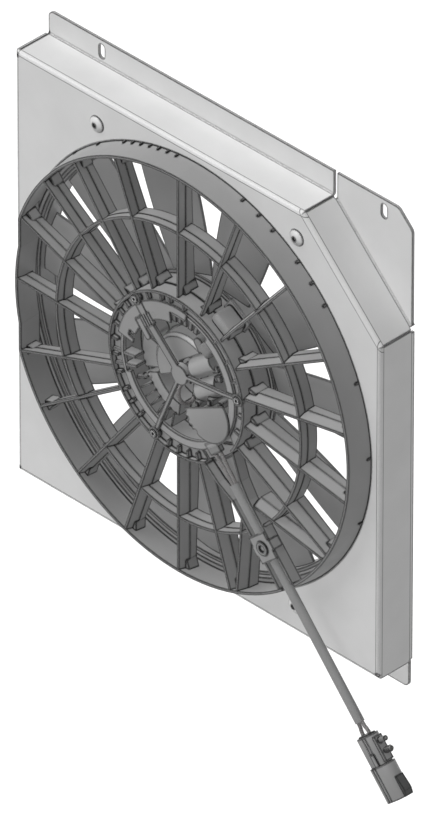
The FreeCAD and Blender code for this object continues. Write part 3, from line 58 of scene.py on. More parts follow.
# Photograph
PHOTO_WIDTH = 430
PHOTO_HEIGHT = 816
PIXEL = 0.8665 * MM
ORIGIN_PX = (231.0, 345.2)
FOCUS_NEARER = 60 * MM
LENS = 900
SENSOR = 36

# Light
KEY_FROM = (-0.369, -0.467, 0.804)
LIGHTS = (
    ("key_light", KEY_FROM, 1.0, True),
    ("soft_light", KEY_FROM, 3.15, False),
    ("front_light", (0, -1, 0), 0.38, False),
    ("right_light", (1, 0, -0.135), 0.88, False),
    ("back_light", (-0.2, 1, -0.1), 1.8, True),
)
SUN_ANGLE = math.radians(40)
AMBIENT = 0.08

# Floor
FLOOR_SIZE = 30
FLOOR_BELOW = 180 * MM
FLOOR_GREY = 0.35
FLOOR_GLOW = 0.8

# Painted shade: dark lines along sharp edges and where two pieces meet
CONTACT_REACH = 1.3 * MM
PLASTIC_EDGE = 2.8 * MM
METAL_EDGE = 2.4 * MM
EDGE_SHADE = 0.03
BEND_SHADE = 0.25
LINE_SAMPLES = 6

# Plastic
PLASTIC_ROUGHNESS = 0.5
PLASTIC_SPECULAR = 0.3

# Rounding of small edges
EDGE_ROUND = 0.4 * MM
FINE_ROUND = 0.3 * MM
ROD_ROUND_SHARE = 0.6

# Fan wheel
BLADES = 11
BLADE_PHASE = math.radians(106.3)
BLADE_ROOT_R = 81.0 * MM
BLADE_TIP_R = 200.5 * MM
BLADE_ROOT_SPAN = math.radians(14.2)
BLADE_TIP_SPAN = math.radians(8.8)
BLADE_ROOT_Y = -22.5 * MM
BLADE_TIP_Y = -26.2 * MM
BLADE_ROOT_RISE = 4.0 * MM
BLADE_TIP_RISE = 3.0 * MM
BLADE_CAMBER = 2.2 * MM
BLADE_THICK = 2.4 * MM

# Guard and panel
BARREL_R = 212.3 * MM
BARREL_FLAT_X = -197.0 * MM
GUARD_GAP = 1.0 * MM
PANEL_FRONT = -42.0 * MM
BEAD_DEPTH = 2.0 * MM
BEAD_SETBACK = 1.2 * MM

# Hub ring and motor
HUB_R = 83.0 * MM
HUB_WALL = 2.5 * MM
MOTOR_R = 70.0 * MM
BOARD_FRONT = -43.6 * MM

# Pocket on the hub ring
POCKET_ANGLE = math.radians(57.5)
POCKET_END = 93.0 * MM
POCKET_WIDTH = 23.0 * MM
POCKET_Y = (-61.0 * MM, -38.0 * MM)
POCKET_ROUND = 4.0 * MM
FLANGE_END = 97.5 * MM
FLANGE_WIDTH = 30.0 * MM
FLANGE_Y = (-41.0 * MM, -38.0 * MM)
FLANGE_ROUND = 1.2 * MM

# Ribs between the hub ring and the motor's ear
RING_RIB_ANGLES = (math.radians(187), math.radians(197))
RING_RIB_START = 53.0 * MM
RING_RIB_WIDTH = 3.0 * MM
RING_RIB_Y = (-65.5 * MM, -54.0 * MM)

# Sensor post
POST_ANGLE = math.radians(210.5)
POST_Y = -55.0 * MM
POST_START = 48.0 * MM
POST_R = 2.1 * MM
POST_HEAD = (46.5 * MM, 51.5 * MM)
POST_HEAD_R = 3.2 * MM
POST_COLLAR = (58.0 * MM, 60.0 * MM)
POST_COLLAR_R = 3.4 * MM

# Parts on the circuit board
FRAME_ANGLE = math.radians(251.8)
FRAME_RADII = (44.0 * MM, 53.0 * MM)
FRAME_HALF_WIDTH = 6.0 * MM
FRAME_FRONT = -51.0 * MM
FRAME_WALL = 1.6 * MM
FRAME_DEPTH = 3.0 * MM
CHOKE_ANGLE = math.radians(53)
CHOKE_RADII = (43.0 * MM, 56.0 * MM)
CHOKE_WIDTH = 14.0 * MM
CHOKE_FRONT = -63.0 * MM
CHOKE_ROUND = 3.5 * MM
BRACKET_ANGLES = (math.radians(19), math.radians(30))
BRACKET_START = 42.0 * MM
BRACKET_FOOT_END = 45.0 * MM
BRACKET_ARM_END = 50.0 * MM
BRACKET_WIDTH = 6.0 * MM
BRACKET_FRONT = -60.0 * MM
BRACKET_ARM_BACK = -57.0 * MM
BRACKET_ROUND = 0.5 * MM

# Wire loop
LOOP_R = 10.0 * MM
LOOP_WIRE_R = 1.9 * MM
LOOP_AT = (-4.0 * MM, -50.0 * MM, -27.0 * MM)
LOOP_TILT = math.radians(70)

# Round cover, its scallops in degrees round the rim
COVER_ANGLE = math.radians(-32.0)
COVER_AT = 42.5 * MM
COVER_R = 28.0 * MM
COVER_Y = (-67.2 * MM, -65.7 * MM)
COVER_CUT = 7.5 * MM
COVER_CUT_TO = Vector((-0.462, 0, 0.887))
COVER_ROUND = 0.35 * MM
SCALLOP_SHARE = 0.9
SCALLOPS_FROM = 100
SCALLOPS_TO = 250
SCALLOP_STEP = 15
SCALLOP_WIDTH = 5

# Terminal blocks, each at its x and z
TERMINALS = ((22.5 * MM, -19.5 * MM), (37.5 * MM, -10.0 * MM), (50.5 * MM, -6.5 * MM))
TERMINAL_SIZE = 7.0 * MM
TERMINAL_FRONT = -64.0 * MM
TERMINAL_ROUND = 1.2 * MM
TERMINAL_TOP_Y = (-65.5 * MM, -60.0 * MM)
TERMINAL_TOP_ROUND = 0.5 * MM

# Rings on the spider's ears
EAR_ANGLES = (math.radians(10), math.radians(130), math.radians(250))
EAR_AT = 77.0 * MM
EAR_R = 6.2 * MM
EAR_WALL = 2.2 * MM
EAR_Y = -68.0 * MM
EAR_DEPTH = 1.4 * MM

# Plug
SHELL_START = 382.0 * MM
SHELL_LENGTH = 33.5 * MM
SHELL_WIDTH = 27.6 * MM
SHELL_THICK = 17.4 * MM
SHELL_ROUND = 8.0 * MM
SHELL_WALL = 2.0 * MM
SHELL_FLOOR = 4.0 * MM
SHELL_RIBS = (-5.2 * MM, -1.4 * MM)
HOUSING_LENGTH = 28.5 * MM
HOUSING_WIDTH = 22.0 * MM
HOUSING_THICK = 15.0 * MM
HOUSING_ROUND = 6.0 * MM
HOUSING_WALL = 2.2 * MM
HOUSING_RIBS = (0.8 * MM, 4.4 * MM)
SEAL_DEPTH = 4.0 * MM
KEY_LENGTH = 12.0 * MM
KEY_WIDTH = 5.4 * MM
KEY_SIDE = 0.4 * MM
KEY_PROUD = 0.8 * MM
RIB_WIDTH = 0.6 * MM
RIB_PROUD = 0.3 * MM

# Sheet pan
PAN_HALF = 223.5 * MM
PAN_DEPTH = 42.0 * MM
CHAMFER = 95.0 * MM
BEND = 4.0 * MM
BEND_LINE = 0.35 * MM

# Cable run
CABLE_ANGLE = math.radians(-48.8)
CABLE_OFFSET = -3.5 * MM
CABLE_Y = -63.0 * MM
GLAND_END = 76.0 * MM
LEAD_STRAIGHT = 8.0 * MM
LEAD_TO_SHEATH = 10.0 * MM
SHEATH_START = 106.0 * MM
SHEATH_END = 340.5 * MM
LEAD_PAST_SHEATH = 1.0 * MM
SEAL_FACE = 352.3 * MM
LEAD_AT_PLUG = 3.3 * MM
WIRE_PITCH = 3.8 * MM
GLAND_PITCH = 8.0 * MM
PLUG_PITCH = 10.0 * MM
LEAD_RADIUS = 1.8 * MM
SHEATH_RADIUS = 4.5 * MM


# Camera and light
def add_camera():
    """The photograph is an isometric view; a very long lens comes within a few pixels of one."""
    right = Vector((1, 1, 0)).normalized()
    back = Vector((1, -1, 1)).normalized()
    up = back.cross(right)
    aside = (PHOTO_WIDTH / 2 - ORIGIN_PX[0]) * PIXEL
    above = (ORIGIN_PX[1] - PHOTO_HEIGHT / 2) * PIXEL
    distance = PHOTO_HEIGHT * PIXEL / 2 / (SENSOR / 2 / LENS)
    camera_data = bpy.data.cameras.new("camera")
    camera_data.lens = LENS
    camera_data.sensor_width = SENSOR
    camera_data.clip_end = 100
    camera = bpy.data.objects.new("camera", camera_data)
    bpy.context.scene.collection.objects.link(camera)
    place = right * aside + up * above + back * (FOCUS_NEARER + distance)
    axes = Matrix((right, up, back)).transposed().to_4x4()
    camera.matrix_world = Matrix.Translation(place) @ axes
    bpy.context.scene.camera = camera


def add_sun(name, direction, strength, shadow):
    sun_data = bpy.data.lights.new(name, "SUN")
    sun_data.energy = strength
    sun_data.angle = SUN_ANGLE
    sun_data.use_shadow = shadow
    sun = bpy.data.objects.new(name, sun_data)
    bpy.context.scene.collection.objects.link(sun)
    sun.rotation_mode = "QUATERNION"
    sun.rotation_quaternion = Vector(direction).to_track_quat("Z", "Y")


def seen_rays(tree):
    """1 for camera, glossy and transmission rays, which see a white studio, and 0 for light."""
    path = tree.nodes.new("ShaderNodeLightPath")
    total = path.outputs["Is Camera Ray"]
    for ray in ("Is Glossy Ray", "Is Transmission Ray"):
        add = tree.nodes.new("ShaderNodeMath")
        add.operation = "MAXIMUM"
        tree.links.new(total, add.inputs[0])
        tree.links.new(path.outputs[ray], add.inputs[1])
        total = add.outputs[0]
    return total


def add_world():
    world = bpy.data.worlds.new("studio")
    bpy.context.scene.world = world
    world.use_nodes = True
    tree = world.node_tree
    light = tree.nodes["Background"]
    light.inputs["Strength"].default_value = AMBIENT
    light.inputs["Color"].default_value = (1, 1, 1, 1)
    backdrop = tree.nodes.new("ShaderNodeBackground")
    mix = tree.nodes.new("ShaderNodeMixShader")
    backdrop.inputs["Color"].default_value = (1, 1, 1, 1)
    tree.links.new(seen_rays(tree), mix.inputs["Fac"])
    tree.links.new(light.outputs[0], mix.inputs[1])
    tree.links.new(backdrop.outputs[0], mix.inputs[2])
    tree.links.new(mix.outputs[0], tree.nodes["World Output"].inputs["Surface"])


def floor_finish():
    """A pale floor that reads as white and still keeps a faint shadow."""
    material = bpy.data.materials.new("floor")
    material.use_nodes = True
    tree = material.node_tree
    shader = tree.nodes["Principled BSDF"]
    shader.inputs["Base Color"].default_value = (FLOOR_GREY, FLOOR_GREY, FLOOR_GREY, 1)
    shader.inputs["Roughness"].default_value = 0.9
    shader.inputs["Specular IOR Level"].default_value = 0
    glow = tree.nodes.new("ShaderNodeEmission")
    glow.inputs["Color"].default_value = (1, 1, 1, 1)
    add = tree.nodes.new("ShaderNodeAddShader")
    seen = tree.nodes.new("ShaderNodeMath")
    seen.operation = "MULTIPLY"
    seen.inputs[1].default_value = FLOOR_GLOW
    tree.links.new(seen_rays(tree), seen.inputs[0])
    tree.links.new(seen.outputs[0], glow.inputs["Strength"])
    tree.links.new(shader.outputs[0], add.inputs[0])
    tree.links.new(glow.outputs[0], add.inputs[1])
    tree.links.new(add.outputs[0], tree.nodes["Material Output"].inputs["Surface"])
    return material


def add_floor():
    bpy.ops.mesh.primitive_plane_add(size=FLOOR_SIZE, location=(0, 0, cad_low.z - FLOOR_BELOW))
    floor = bpy.context.object
    floor.name = "floor"
    floor.data.materials.append(floor_finish())
    bpy.ops.object.select_all(action="DESELECT")


# Cords
def on_cable(along, across):
    """A point on the cable's plane, so far along the cable's line and across it."""
    cos, sin = math.cos(CABLE_ANGLE), math.sin(CABLE_ANGLE)
    return Vector((along * cos - across * sin, CABLE_Y, along * sin + across * cos))


def lead_route(side):
    """The route's points from the part's source."""
    close = CABLE_OFFSET + side * WIRE_PITCH / 2
    wide = CABLE_OFFSET + side * GLAND_PITCH / 2
    plug = CABLE_OFFSET + side * PLUG_PITCH / 2
    run = [(GLAND_END, wide), (GLAND_END + LEAD_STRAIGHT, wide),
           (SHEATH_START - LEAD_TO_SHEATH, close), (SHEATH_END + LEAD_PAST_SHEATH, close),
           (SEAL_FACE - LEAD_AT_PLUG, plug), (SEAL_FACE, plug)]
    return [on_cable(along, across) for along, across in run]


def add_cord(name, points, radius):
    curve = bpy.data.curves.new(name, "CURVE")
    curve.dimensions = "3D"
    curve.bevel_depth = radius
    curve.bevel_resolution = 6
    curve.resolution_u = 24
    spline = curve.splines.new("NURBS")
    spline.points.add(len(points) - 1)
    for control, point in zip(spline.points, points):
        control.co = (*point, 1)
    spline.order_u = 3
    spline.use_endpoint_u = True
    cord = bpy.data.objects.new(name, curve)
    bpy.context.scene.collection.objects.link(cord)
    return cord


def add_leads():
    for node, side in (("lead_positive", 1), ("lead_negative", -1)):
        points = lead_route(side)
        cord = add_cord(node + "_cord", points, LEAD_RADIUS)
        cord.data.materials.append(FINISHES[node])
        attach(cord, "shroud")
        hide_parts(node)


def add_sheath():
    points = [on_cable(SHEATH_START, CABLE_OFFSET),
              on_cable((SHEATH_START + SHEATH_END) / 2, CABLE_OFFSET),
              on_cable(SHEATH_END, CABLE_OFFSET)]
    cord = add_cord("cable_sheath_cord", points, SHEATH_RADIUS)
    cord.data.materials.append(FINISHES["cable_sheath"])
    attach(cord, "shroud")
    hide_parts("cable_sheath")


# Modelling by hand
def pick(piece, kind, wanted):
    """Goes into edit mode with those edges or faces selected for whose points wanted holds."""
    bpy.ops.object.mode_set(mode="EDIT")
    bpy.ops.mesh.select_mode(type=kind)
    bpy.ops.mesh.select_all(action="DESELECT")
    bpy.ops.object.mode_set(mode="OBJECT")
    parts = piece.data.edges if kind == "EDGE" else piece.data.polygons
    for part in parts:
        part.select = wanted([piece.data.vertices[index].co for index in part.vertices])
    bpy.ops.object.mode_set(mode="EDIT")


def settle(piece):
    """Puts the piece's place, turn and size into its mesh."""
    bpy.ops.object.mode_set(mode="OBJECT")
    bpy.ops.object.select_all(action="DESELECT")
    piece.select_set(True)
    bpy.context.view_layer.objects.active = piece
    bpy.ops.object.transform_apply(location=True, rotation=True, scale=True)


def turn_piece(piece, angle):
    """Turns the piece about the fan axis, anticlockwise as seen from the front."""
    piece.rotation_euler = (0, -angle, 0)
    settle(piece)


def add_modifier(piece, kind, **values):
    modifier = piece.modifiers.new(kind.lower(), kind)
    for name, value in values.items():
        setattr(modifier, name, value)
    bpy.ops.object.modifier_apply(modifier=modifier.name)


def add_box(x, y, z):
    """A box between the two ends given for each axis."""
    centre = [(low + high) / 2 for low, high in (x, y, z)]
    bpy.ops.object.select_all(action="DESELECT")
    bpy.ops.mesh.primitive_cube_add(size=1, location=centre)
    box = bpy.context.object
    box.scale = [high - low for low, high in (x, y, z)]
    settle(box)
    return box


def soften(piece, width, segments=2):
    """Rounds a piece's sharp edges."""
    add_modifier(piece, "BEVEL", width=width, segments=segments, limit_method="ANGLE",
                 angle_limit=math.radians(40))
    bpy.ops.object.shade_smooth_by_angle(angle=math.radians(35))


def round_bar(x, thick, wide, radius):
    """A bar along the x axis, round along its four long edges, centred on the cable's line."""
    bar = add_box(x, (CABLE_Y - thick / 2, CABLE_Y + thick / 2),
                  (CABLE_OFFSET - wide / 2, CABLE_OFFSET + wide / 2))
    pick(bar, "EDGE", lambda ends: abs(ends[0].x - ends[1].x) > MM)
    bpy.ops.mesh.bevel(offset=radius, segments=10, affect="EDGES")
    bpy.ops.object.mode_set(mode="OBJECT")
    return bar


def add_proud_lines(x, sides, thick, wide, radius):
    """Thin ribs along a round bar, each seated on its front at a distance from the middle."""
    ribs = []
    for side in sides:
        over = max(0, abs(side) - (wide / 2 - radius))
        front = CABLE_Y - thick / 2 + radius - math.sqrt(radius ** 2 - over ** 2)
        ribs.append(add_box(x, (front - RIB_PROUD, front + MM),
                            (CABLE_OFFSET + side, CABLE_OFFSET + side + RIB_WIDTH)))
    return ribs


def cut_off(place, towards, fill):
    """Cuts away what of the active piece lies past a plane."""
    bpy.ops.object.mode_set(mode="EDIT")
    bpy.ops.mesh.select_all(action="SELECT")
    bpy.ops.mesh.bisect(plane_co=place, plane_no=towards, use_fill=fill, clear_outer=True)
    bpy.ops.object.mode_set(mode="OBJECT")


def joined(pieces):
    bpy.ops.object.select_all(action="DESELECT")
    for piece in pieces:
        piece.select_set(True)
    bpy.context.view_layer.objects.active = pieces[0]
    bpy.ops.object.join()
    return pieces[0]


def hand_over(piece, name, body, slot, finish, *nodes):
    """Names a finished piece, dresses it, hangs it on its body and hides any parts it stands for.
    """
    piece.name = name
    piece.data.materials.clear()
    piece.data.materials.append(finish)
    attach(piece, body)
    if nodes:
        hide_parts(*nodes)
    bpy.ops.object.select_all(action="DESELECT")


# Fan wheel
def blade_place(along, across):
    """Where a point of the blade's grid goes: along runs 0 to 1 from hub to band."""
    radius = BLADE_ROOT_R + along * (BLADE_TIP_R - BLADE_ROOT_R)
    half_span = BLADE_ROOT_SPAN + along * (BLADE_TIP_SPAN - BLADE_ROOT_SPAN)
    centre = BLADE_ROOT_Y + along * (BLADE_TIP_Y - BLADE_ROOT_Y)
    rise = BLADE_ROOT_RISE + along * (BLADE_TIP_RISE - BLADE_ROOT_RISE)
    angle = math.pi / 2 - across * half_span
    bow = BLADE_CAMBER * (1 - across ** 2)
    return Vector((radius * math.cos(angle), centre + across * rise - bow,
                   radius * math.sin(angle)))


def add_blades():
    """Eleven bowed blades between the wheel's hub and its band."""
    bpy.ops.object.select_all(action="DESELECT")
    bpy.ops.mesh.primitive_grid_add(x_subdivisions=8, y_subdivisions=10, size=2)
    blade = bpy.context.object
    bpy.ops.object.mode_set(mode="EDIT")
    bpy.ops.mesh.select_mode(type="VERT")
    for index in range(len(blade.data.vertices)):
        bpy.ops.mesh.select_all(action="DESELECT")
        bpy.ops.object.mode_set(mode="OBJECT")
        point = blade.data.vertices[index]
        point.select = True
        shift = blade_place((point.co.y + 1) / 2, point.co.x) - point.co
        bpy.ops.object.mode_set(mode="EDIT")
        bpy.ops.transform.translate(value=shift)
    bpy.ops.object.mode_set(mode="OBJECT")
    add_modifier(blade, "SOLIDIFY", thickness=BLADE_THICK, offset=0)
    soften(blade, BLADE_THICK / 3, 3)
    blades = [blade]
    for index in range(1, BLADES):
        copy = blade.copy()
        copy.data = blade.data.copy()
        bpy.context.scene.collection.objects.link(copy)
        turn_piece(copy, index * 2 * math.pi / BLADES)
        blades.append(copy)
    wheel = joined(blades)
    turn_piece(wheel, BLADE_PHASE - math.pi / 2)
    hand_over(wheel, "moulded_blades", "rotor", "wheel_plastic", FINISHES["fan_blades"],
              "fan_blades")


# Guard and motor
def radial_box(radii, width, depth, angle, rounding):
    """A rounded box that lies along a radius of the fan, turned to an angle about its axis."""
    box = add_box(radii, depth, (-width / 2, width / 2))
    soften(box, rounding, 4)
    turn_piece(box, angle)
    return box


def add_ring_pocket():
    """The closed box on the outside of the hub ring, with its flange."""
    start = HUB_R - MM
    box = radial_box((start, POCKET_END), POCKET_WIDTH, POCKET_Y, POCKET_ANGLE, POCKET_ROUND)
    flange = radial_box((start, FLANGE_END), FLANGE_WIDTH, FLANGE_Y, POCKET_ANGLE, FLANGE_ROUND)
    hand_over(joined([box, flange]), "ring_pocket", "shroud", "housing_plastic",
              FINISHES["guard_hub_ring"])


def add_ring_ribs():
    """Two ribs from the hub ring to the motor's ear, in the gap of the motor's own ring."""
    outer = HUB_R - HUB_WALL + MM / 2
    ribs = [radial_box((RING_RIB_START, outer), RING_RIB_WIDTH, RING_RIB_Y, angle, MM / 2)
            for angle in RING_RIB_ANGLES]
    hand_over(joined(ribs), "ring_ribs", "shroud", "housing_plastic",
              FINISHES["guard_hub_ring"])


def add_rod(start, end, radius):
    """A round rod of the sensor post along the x axis, its ends rounded."""
    bpy.ops.object.select_all(action="DESELECT")
    bpy.ops.mesh.primitive_cylinder_add(
        vertices=32, radius=radius, depth=end - start,
        location=((start + end) / 2, POST_Y, 0), rotation=(0, math.pi / 2, 0))
    rod = bpy.context.object
    settle(rod)
    soften(rod, radius * ROD_ROUND_SHARE, 4)
    return rod


def add_sensor_post():
    """The post with a collar that stands out from the motor's wall."""
    parts = [add_rod(POST_START, MOTOR_R - MM, POST_R),
             add_rod(*POST_HEAD, POST_HEAD_R),
             add_rod(*POST_COLLAR, POST_COLLAR_R)]
    post = joined(parts)
    turn_piece(post, POST_ANGLE)
    hand_over(post, "sensor_post", "shroud", "motor_metal", FINISHES["motor_base"])


def add_open_frame():
    """The box with a sunk front that stands on the circuit board."""
    box = add_box(FRAME_RADII, (FRAME_FRONT, BOARD_FRONT), (-FRAME_HALF_WIDTH, FRAME_HALF_WIDTH))
    pick(box, "FACE", lambda corners: all(corner.y < FRAME_FRONT + MM for corner in corners))
    bpy.ops.mesh.inset(thickness=FRAME_WALL)
    bpy.ops.mesh.extrude_region_move(TRANSFORM_OT_translate={"value": (0, FRAME_DEPTH, 0)})
    bpy.ops.object.mode_set(mode="OBJECT")
    soften(box, EDGE_ROUND)
    turn_piece(box, FRAME_ANGLE)
    return box


def add_bracket(angle):
    """A small angle bracket: its foot on the board and its arm out from the foot's end."""
    foot = radial_box((BRACKET_START, BRACKET_FOOT_END), BRACKET_WIDTH,
                      (BRACKET_FRONT, BOARD_FRONT), angle, BRACKET_ROUND)
    arm = radial_box((BRACKET_START, BRACKET_ARM_END), BRACKET_WIDTH,
                     (BRACKET_FRONT, BRACKET_ARM_BACK), angle, BRACKET_ROUND)
    return [foot, arm]


def add_terminal(x, z):
    """A terminal block with a smaller top."""
    half = TERMINAL_SIZE / 2
    block = add_box((x - half, x + half), (TERMINAL_FRONT, BOARD_FRONT), (z - half, z + half))
    soften(block, TERMINAL_ROUND, 3)
    top = add_box((x - half / 2, x + half / 2), TERMINAL_TOP_Y, (z - half, z + half / 2))
    soften(top, TERMINAL_TOP_ROUND)
    return [block, top]


def add_board_parts():
    """Small electronic parts that stand on the circuit board."""
    parts = [add_open_frame(),
             radial_box(CHOKE_RADII, CHOKE_WIDTH, (CHOKE_FRONT, BOARD_FRONT), CHOKE_ANGLE,
                        CHOKE_ROUND)]
    for angle in BRACKET_ANGLES:
        parts += add_bracket(angle)
    for x, z in TERMINALS:
        parts += add_terminal(x, z)
    hand_over(joined(parts), "board_parts", "shroud", "chip_plastic", FINISHES["film_capacitor"])


def add_wire_loop():
    """The wire loop that stands on the board beside the lower capacitor."""
    bpy.ops.object.select_all(action="DESELECT")
    bpy.ops.mesh.primitive_torus_add(
        major_radius=LOOP_R, minor_radius=LOOP_WIRE_R, major_segments=48, minor_segments=16,
        location=LOOP_AT, rotation=(0, LOOP_TILT, 0))
    loop = bpy.context.object
    settle(loop)
    cut_off((0, BOARD_FRONT, 0), (0, 1, 0), fill=True)
    bpy.ops.object.shade_smooth_by_angle(angle=math.radians(40))
    hand_over(loop, "wire_loop", "shroud", "lead_dark", FINISHES["lead_negative"])


def add_cut_cover():
    """The round cover, scalloped on its rim and cut straight where the board shows above it."""
    centre = Vector((COVER_AT * math.cos(COVER_ANGLE), 0, COVER_AT * math.sin(COVER_ANGLE)))
    middle = (COVER_Y[0] + COVER_Y[1]) / 2
    bpy.ops.object.select_all(action="DESELECT")
    bpy.ops.mesh.primitive_cylinder_add(
        vertices=96, radius=COVER_R, depth=COVER_Y[1] - COVER_Y[0],
        location=(centre.x, middle, centre.z), rotation=(math.pi / 2, 0, 0))
    cover = bpy.context.object
    settle(cover)

    def in_scallop(ends):
        point = (ends[0] + ends[1]) / 2 - centre
        angle = math.degrees(math.atan2(point.z, point.x)) % 360
        along_rim = SCALLOPS_FROM < angle < SCALLOPS_TO and angle % SCALLOP_STEP < SCALLOP_WIDTH
        return along_rim and abs(ends[0].y - ends[1].y) > MM / 2

    pick(cover, "EDGE", in_scallop)
    bpy.ops.transform.resize(value=(SCALLOP_SHARE, 1, SCALLOP_SHARE),
                             center_override=(centre.x, middle, centre.z))
    cut_off(centre + COVER_CUT_TO * COVER_CUT, COVER_CUT_TO, fill=True)
    soften(cover, COVER_ROUND)
    hand_over(cover, "cut_cover", "shroud", "clip_plastic", FINISHES["round_cover"],
              "round_cover")


def add_hoop(radius, depth, vertices, x, y):
    """An open band about the fan axis or beside it, without thickness yet."""
    bpy.ops.object.select_all(action="DESELECT")
    bpy.ops.mesh.primitive_cylinder_add(
        vertices=vertices, radius=radius, depth=depth, end_fill_type="NOTHING",
        location=(x, y, 0), rotation=(math.pi / 2, 0, 0))
    hoop = bpy.context.object
    settle(hoop)
    return hoop


def add_ear_rings():
    """The raised rings round the three screws of the spider."""
    rings = []
    for angle in EAR_ANGLES:
        ring = add_hoop(EAR_R, EAR_DEPTH, 40, EAR_AT, EAR_Y)
        add_modifier(ring, "SOLIDIFY", thickness=EAR_WALL, offset=-1)
        soften(ring, FINE_ROUND)
        turn_piece(ring, angle)
        rings.append(ring)
    hand_over(joined(rings), "ear_rings", "shroud", "housing_plastic",
              FINISHES["spider_bracket"])


def add_barrel_bead():
    """The bead round the barrel that closes its gap in the panel."""
    bead = add_hoop(BARREL_R + GUARD_GAP, BEAD_DEPTH, 256, 0, PANEL_FRONT + BEAD_SETBACK)
    cut_off((BARREL_FLAT_X - GUARD_GAP, 0, 0), (-1, 0, 0), fill=False)
    add_modifier(bead, "SOLIDIFY", thickness=GUARD_GAP, offset=-1)
    soften(bead, FINE_ROUND)
    hand_over(bead, "barrel_bead", "shroud", "housing_plastic", FINISHES["fan_barrel"])


# Plug
def add_plug_shell():
    """The plug's wide front shell: an oval sleeve with a floor and two proud lines."""
    end = SHELL_START + SHELL_LENGTH
    shell = round_bar((SHELL_START, end), SHELL_THICK, SHELL_WIDTH, SHELL_ROUND)
    pick(shell, "FACE", lambda corners: all(corner.x > end - MM / 10 for corner in corners))
    bpy.ops.mesh.inset(thickness=SHELL_WALL)
    bpy.ops.mesh.extrude_region_move(
        TRANSFORM_OT_translate={"value": (SHELL_FLOOR - SHELL_LENGTH, 0, 0)})
    bpy.ops.object.mode_set(mode="OBJECT")
    soften(shell, EDGE_ROUND)
    ribs = add_proud_lines((SHELL_START, end - MM), SHELL_RIBS, SHELL_THICK, SHELL_WIDTH,
                           SHELL_ROUND)
    shell = joined([shell] + ribs)
    turn_piece(shell, CABLE_ANGLE)
    hand_over(shell, "plug_shell", "shroud", "plug_plastic", FINISHES["connector_shell"],
              "connector_shell")


def add_plug_housing():
    """The plug's rear part, oval, with two proud lines and a key that guides its mate."""
    end = SHELL_START + MM / 2
    start = SHELL_START - HOUSING_LENGTH
    housing = round_bar((start, end), HOUSING_THICK, HOUSING_WIDTH, HOUSING_ROUND)
    pick(housing, "FACE", lambda corners: all(corner.x < start + MM / 10 for corner in corners))
    bpy.ops.mesh.inset(thickness=HOUSING_WALL)
    bpy.ops.mesh.extrude_region_move(TRANSFORM_OT_translate={"value": (SEAL_DEPTH, 0, 0)})
    bpy.ops.object.mode_set(mode="OBJECT")
    soften(housing, EDGE_ROUND)
    front = CABLE_Y - HOUSING_THICK / 2
    ribs = add_proud_lines((start + MM, end - KEY_LENGTH), HOUSING_RIBS, HOUSING_THICK,
                           HOUSING_WIDTH, HOUSING_ROUND)
    key = add_box((end - KEY_LENGTH, end), (front - KEY_PROUD, front + MM),
                  (CABLE_OFFSET + KEY_SIDE, CABLE_OFFSET + KEY_SIDE + KEY_WIDTH))
    housing = joined([housing, key] + ribs)
    turn_piece(housing, CABLE_ANGLE)
    hand_over(housing, "plug_housing", "shroud", "plug_plastic",
              FINISHES["connector_housing"], "connector_housing")


# Finishes
def new_finish(name, colour, roughness, metallic=0.0):
    material = bpy.data.materials.new(name)
    material.use_nodes = True
    shader = material.node_tree.nodes["Principled BSDF"]
    shader.inputs["Base Color"].default_value = (*colour, 1)
    shader.inputs["Roughness"].default_value = roughness
    shader.inputs["Metallic"].default_value = metallic
    return material, material.node_tree, shader


def noise(tree, scale, detail, stretch=(1, 1, 1)):
    coordinates = tree.nodes.new("ShaderNodeTexCoord")
    mapping = tree.nodes.new("ShaderNodeMapping")
    mapping.inputs["Scale"].default_value = stretch
    texture = tree.nodes.new("ShaderNodeTexNoise")
    texture.inputs["Scale"].default_value = scale
    texture.inputs["Detail"].default_value = detail
    tree.links.new(coordinates.outputs["Object"], mapping.inputs["Vector"])
    tree.links.new(mapping.outputs["Vector"], texture.inputs["Vector"])
    return texture.outputs["Fac"]


def spread(tree, factor, low, high, low_at=0.3, high_at=0.7):
    """Maps a factor between two numbers."""
    spread_node = tree.nodes.new("ShaderNodeMapRange")
    spread_node.inputs["From Min"].default_value = low_at
    spread_node.inputs["From Max"].default_value = high_at
    spread_node.inputs["To Min"].default_value = low
    spread_node.inputs["To Max"].default_value = high
    tree.links.new(factor, spread_node.inputs["Value"])
    return spread_node.outputs["Result"]


def blend_colours(tree, factor, low, high):
    mix = tree.nodes.new("ShaderNodeMix")
    mix.data_type = "RGBA"
    tree.links.new(factor, mix.inputs["Factor"])
    for socket, colour in ((mix.inputs[6], low), (mix.inputs[7], high)):
        if isinstance(colour, bpy.types.NodeSocket):
            tree.links.new(colour, socket)
        else:
            socket.default_value = (*colour, 1)
    return mix.outputs[2]


def bump(tree, shader, height, strength, distance):
    node = tree.nodes.new("ShaderNodeBump")
    node.inputs["Strength"].default_value = strength
    node.inputs["Distance"].default_value = distance
    tree.links.new(height, node.inputs["Height"])
    tree.links.new(node.outputs["Normal"], shader.inputs["Normal"])


def maths(tree, operation, *values):
    """One Math node; each value is a socket or a number."""
    node = tree.nodes.new("ShaderNodeMath")
    node.operation = operation
    for socket, value in zip(node.inputs, values):
        if isinstance(value, bpy.types.NodeSocket):
            tree.links.new(value, socket)
        else:
            socket.default_value = value
    return node.outputs[0]


def contacts(tree):
    """Mask of painted shade: 1 where another surface comes close, as in the line between two
    pieces.
    """
    nearness = tree.nodes.new("ShaderNodeAmbientOcclusion")
    nearness.samples = LINE_SAMPLES
    nearness.inputs["Distance"].default_value = CONTACT_REACH
    return spread(tree, nearness.outputs["AO"], 1, 0, low_at=0.62, high_at=0.82)


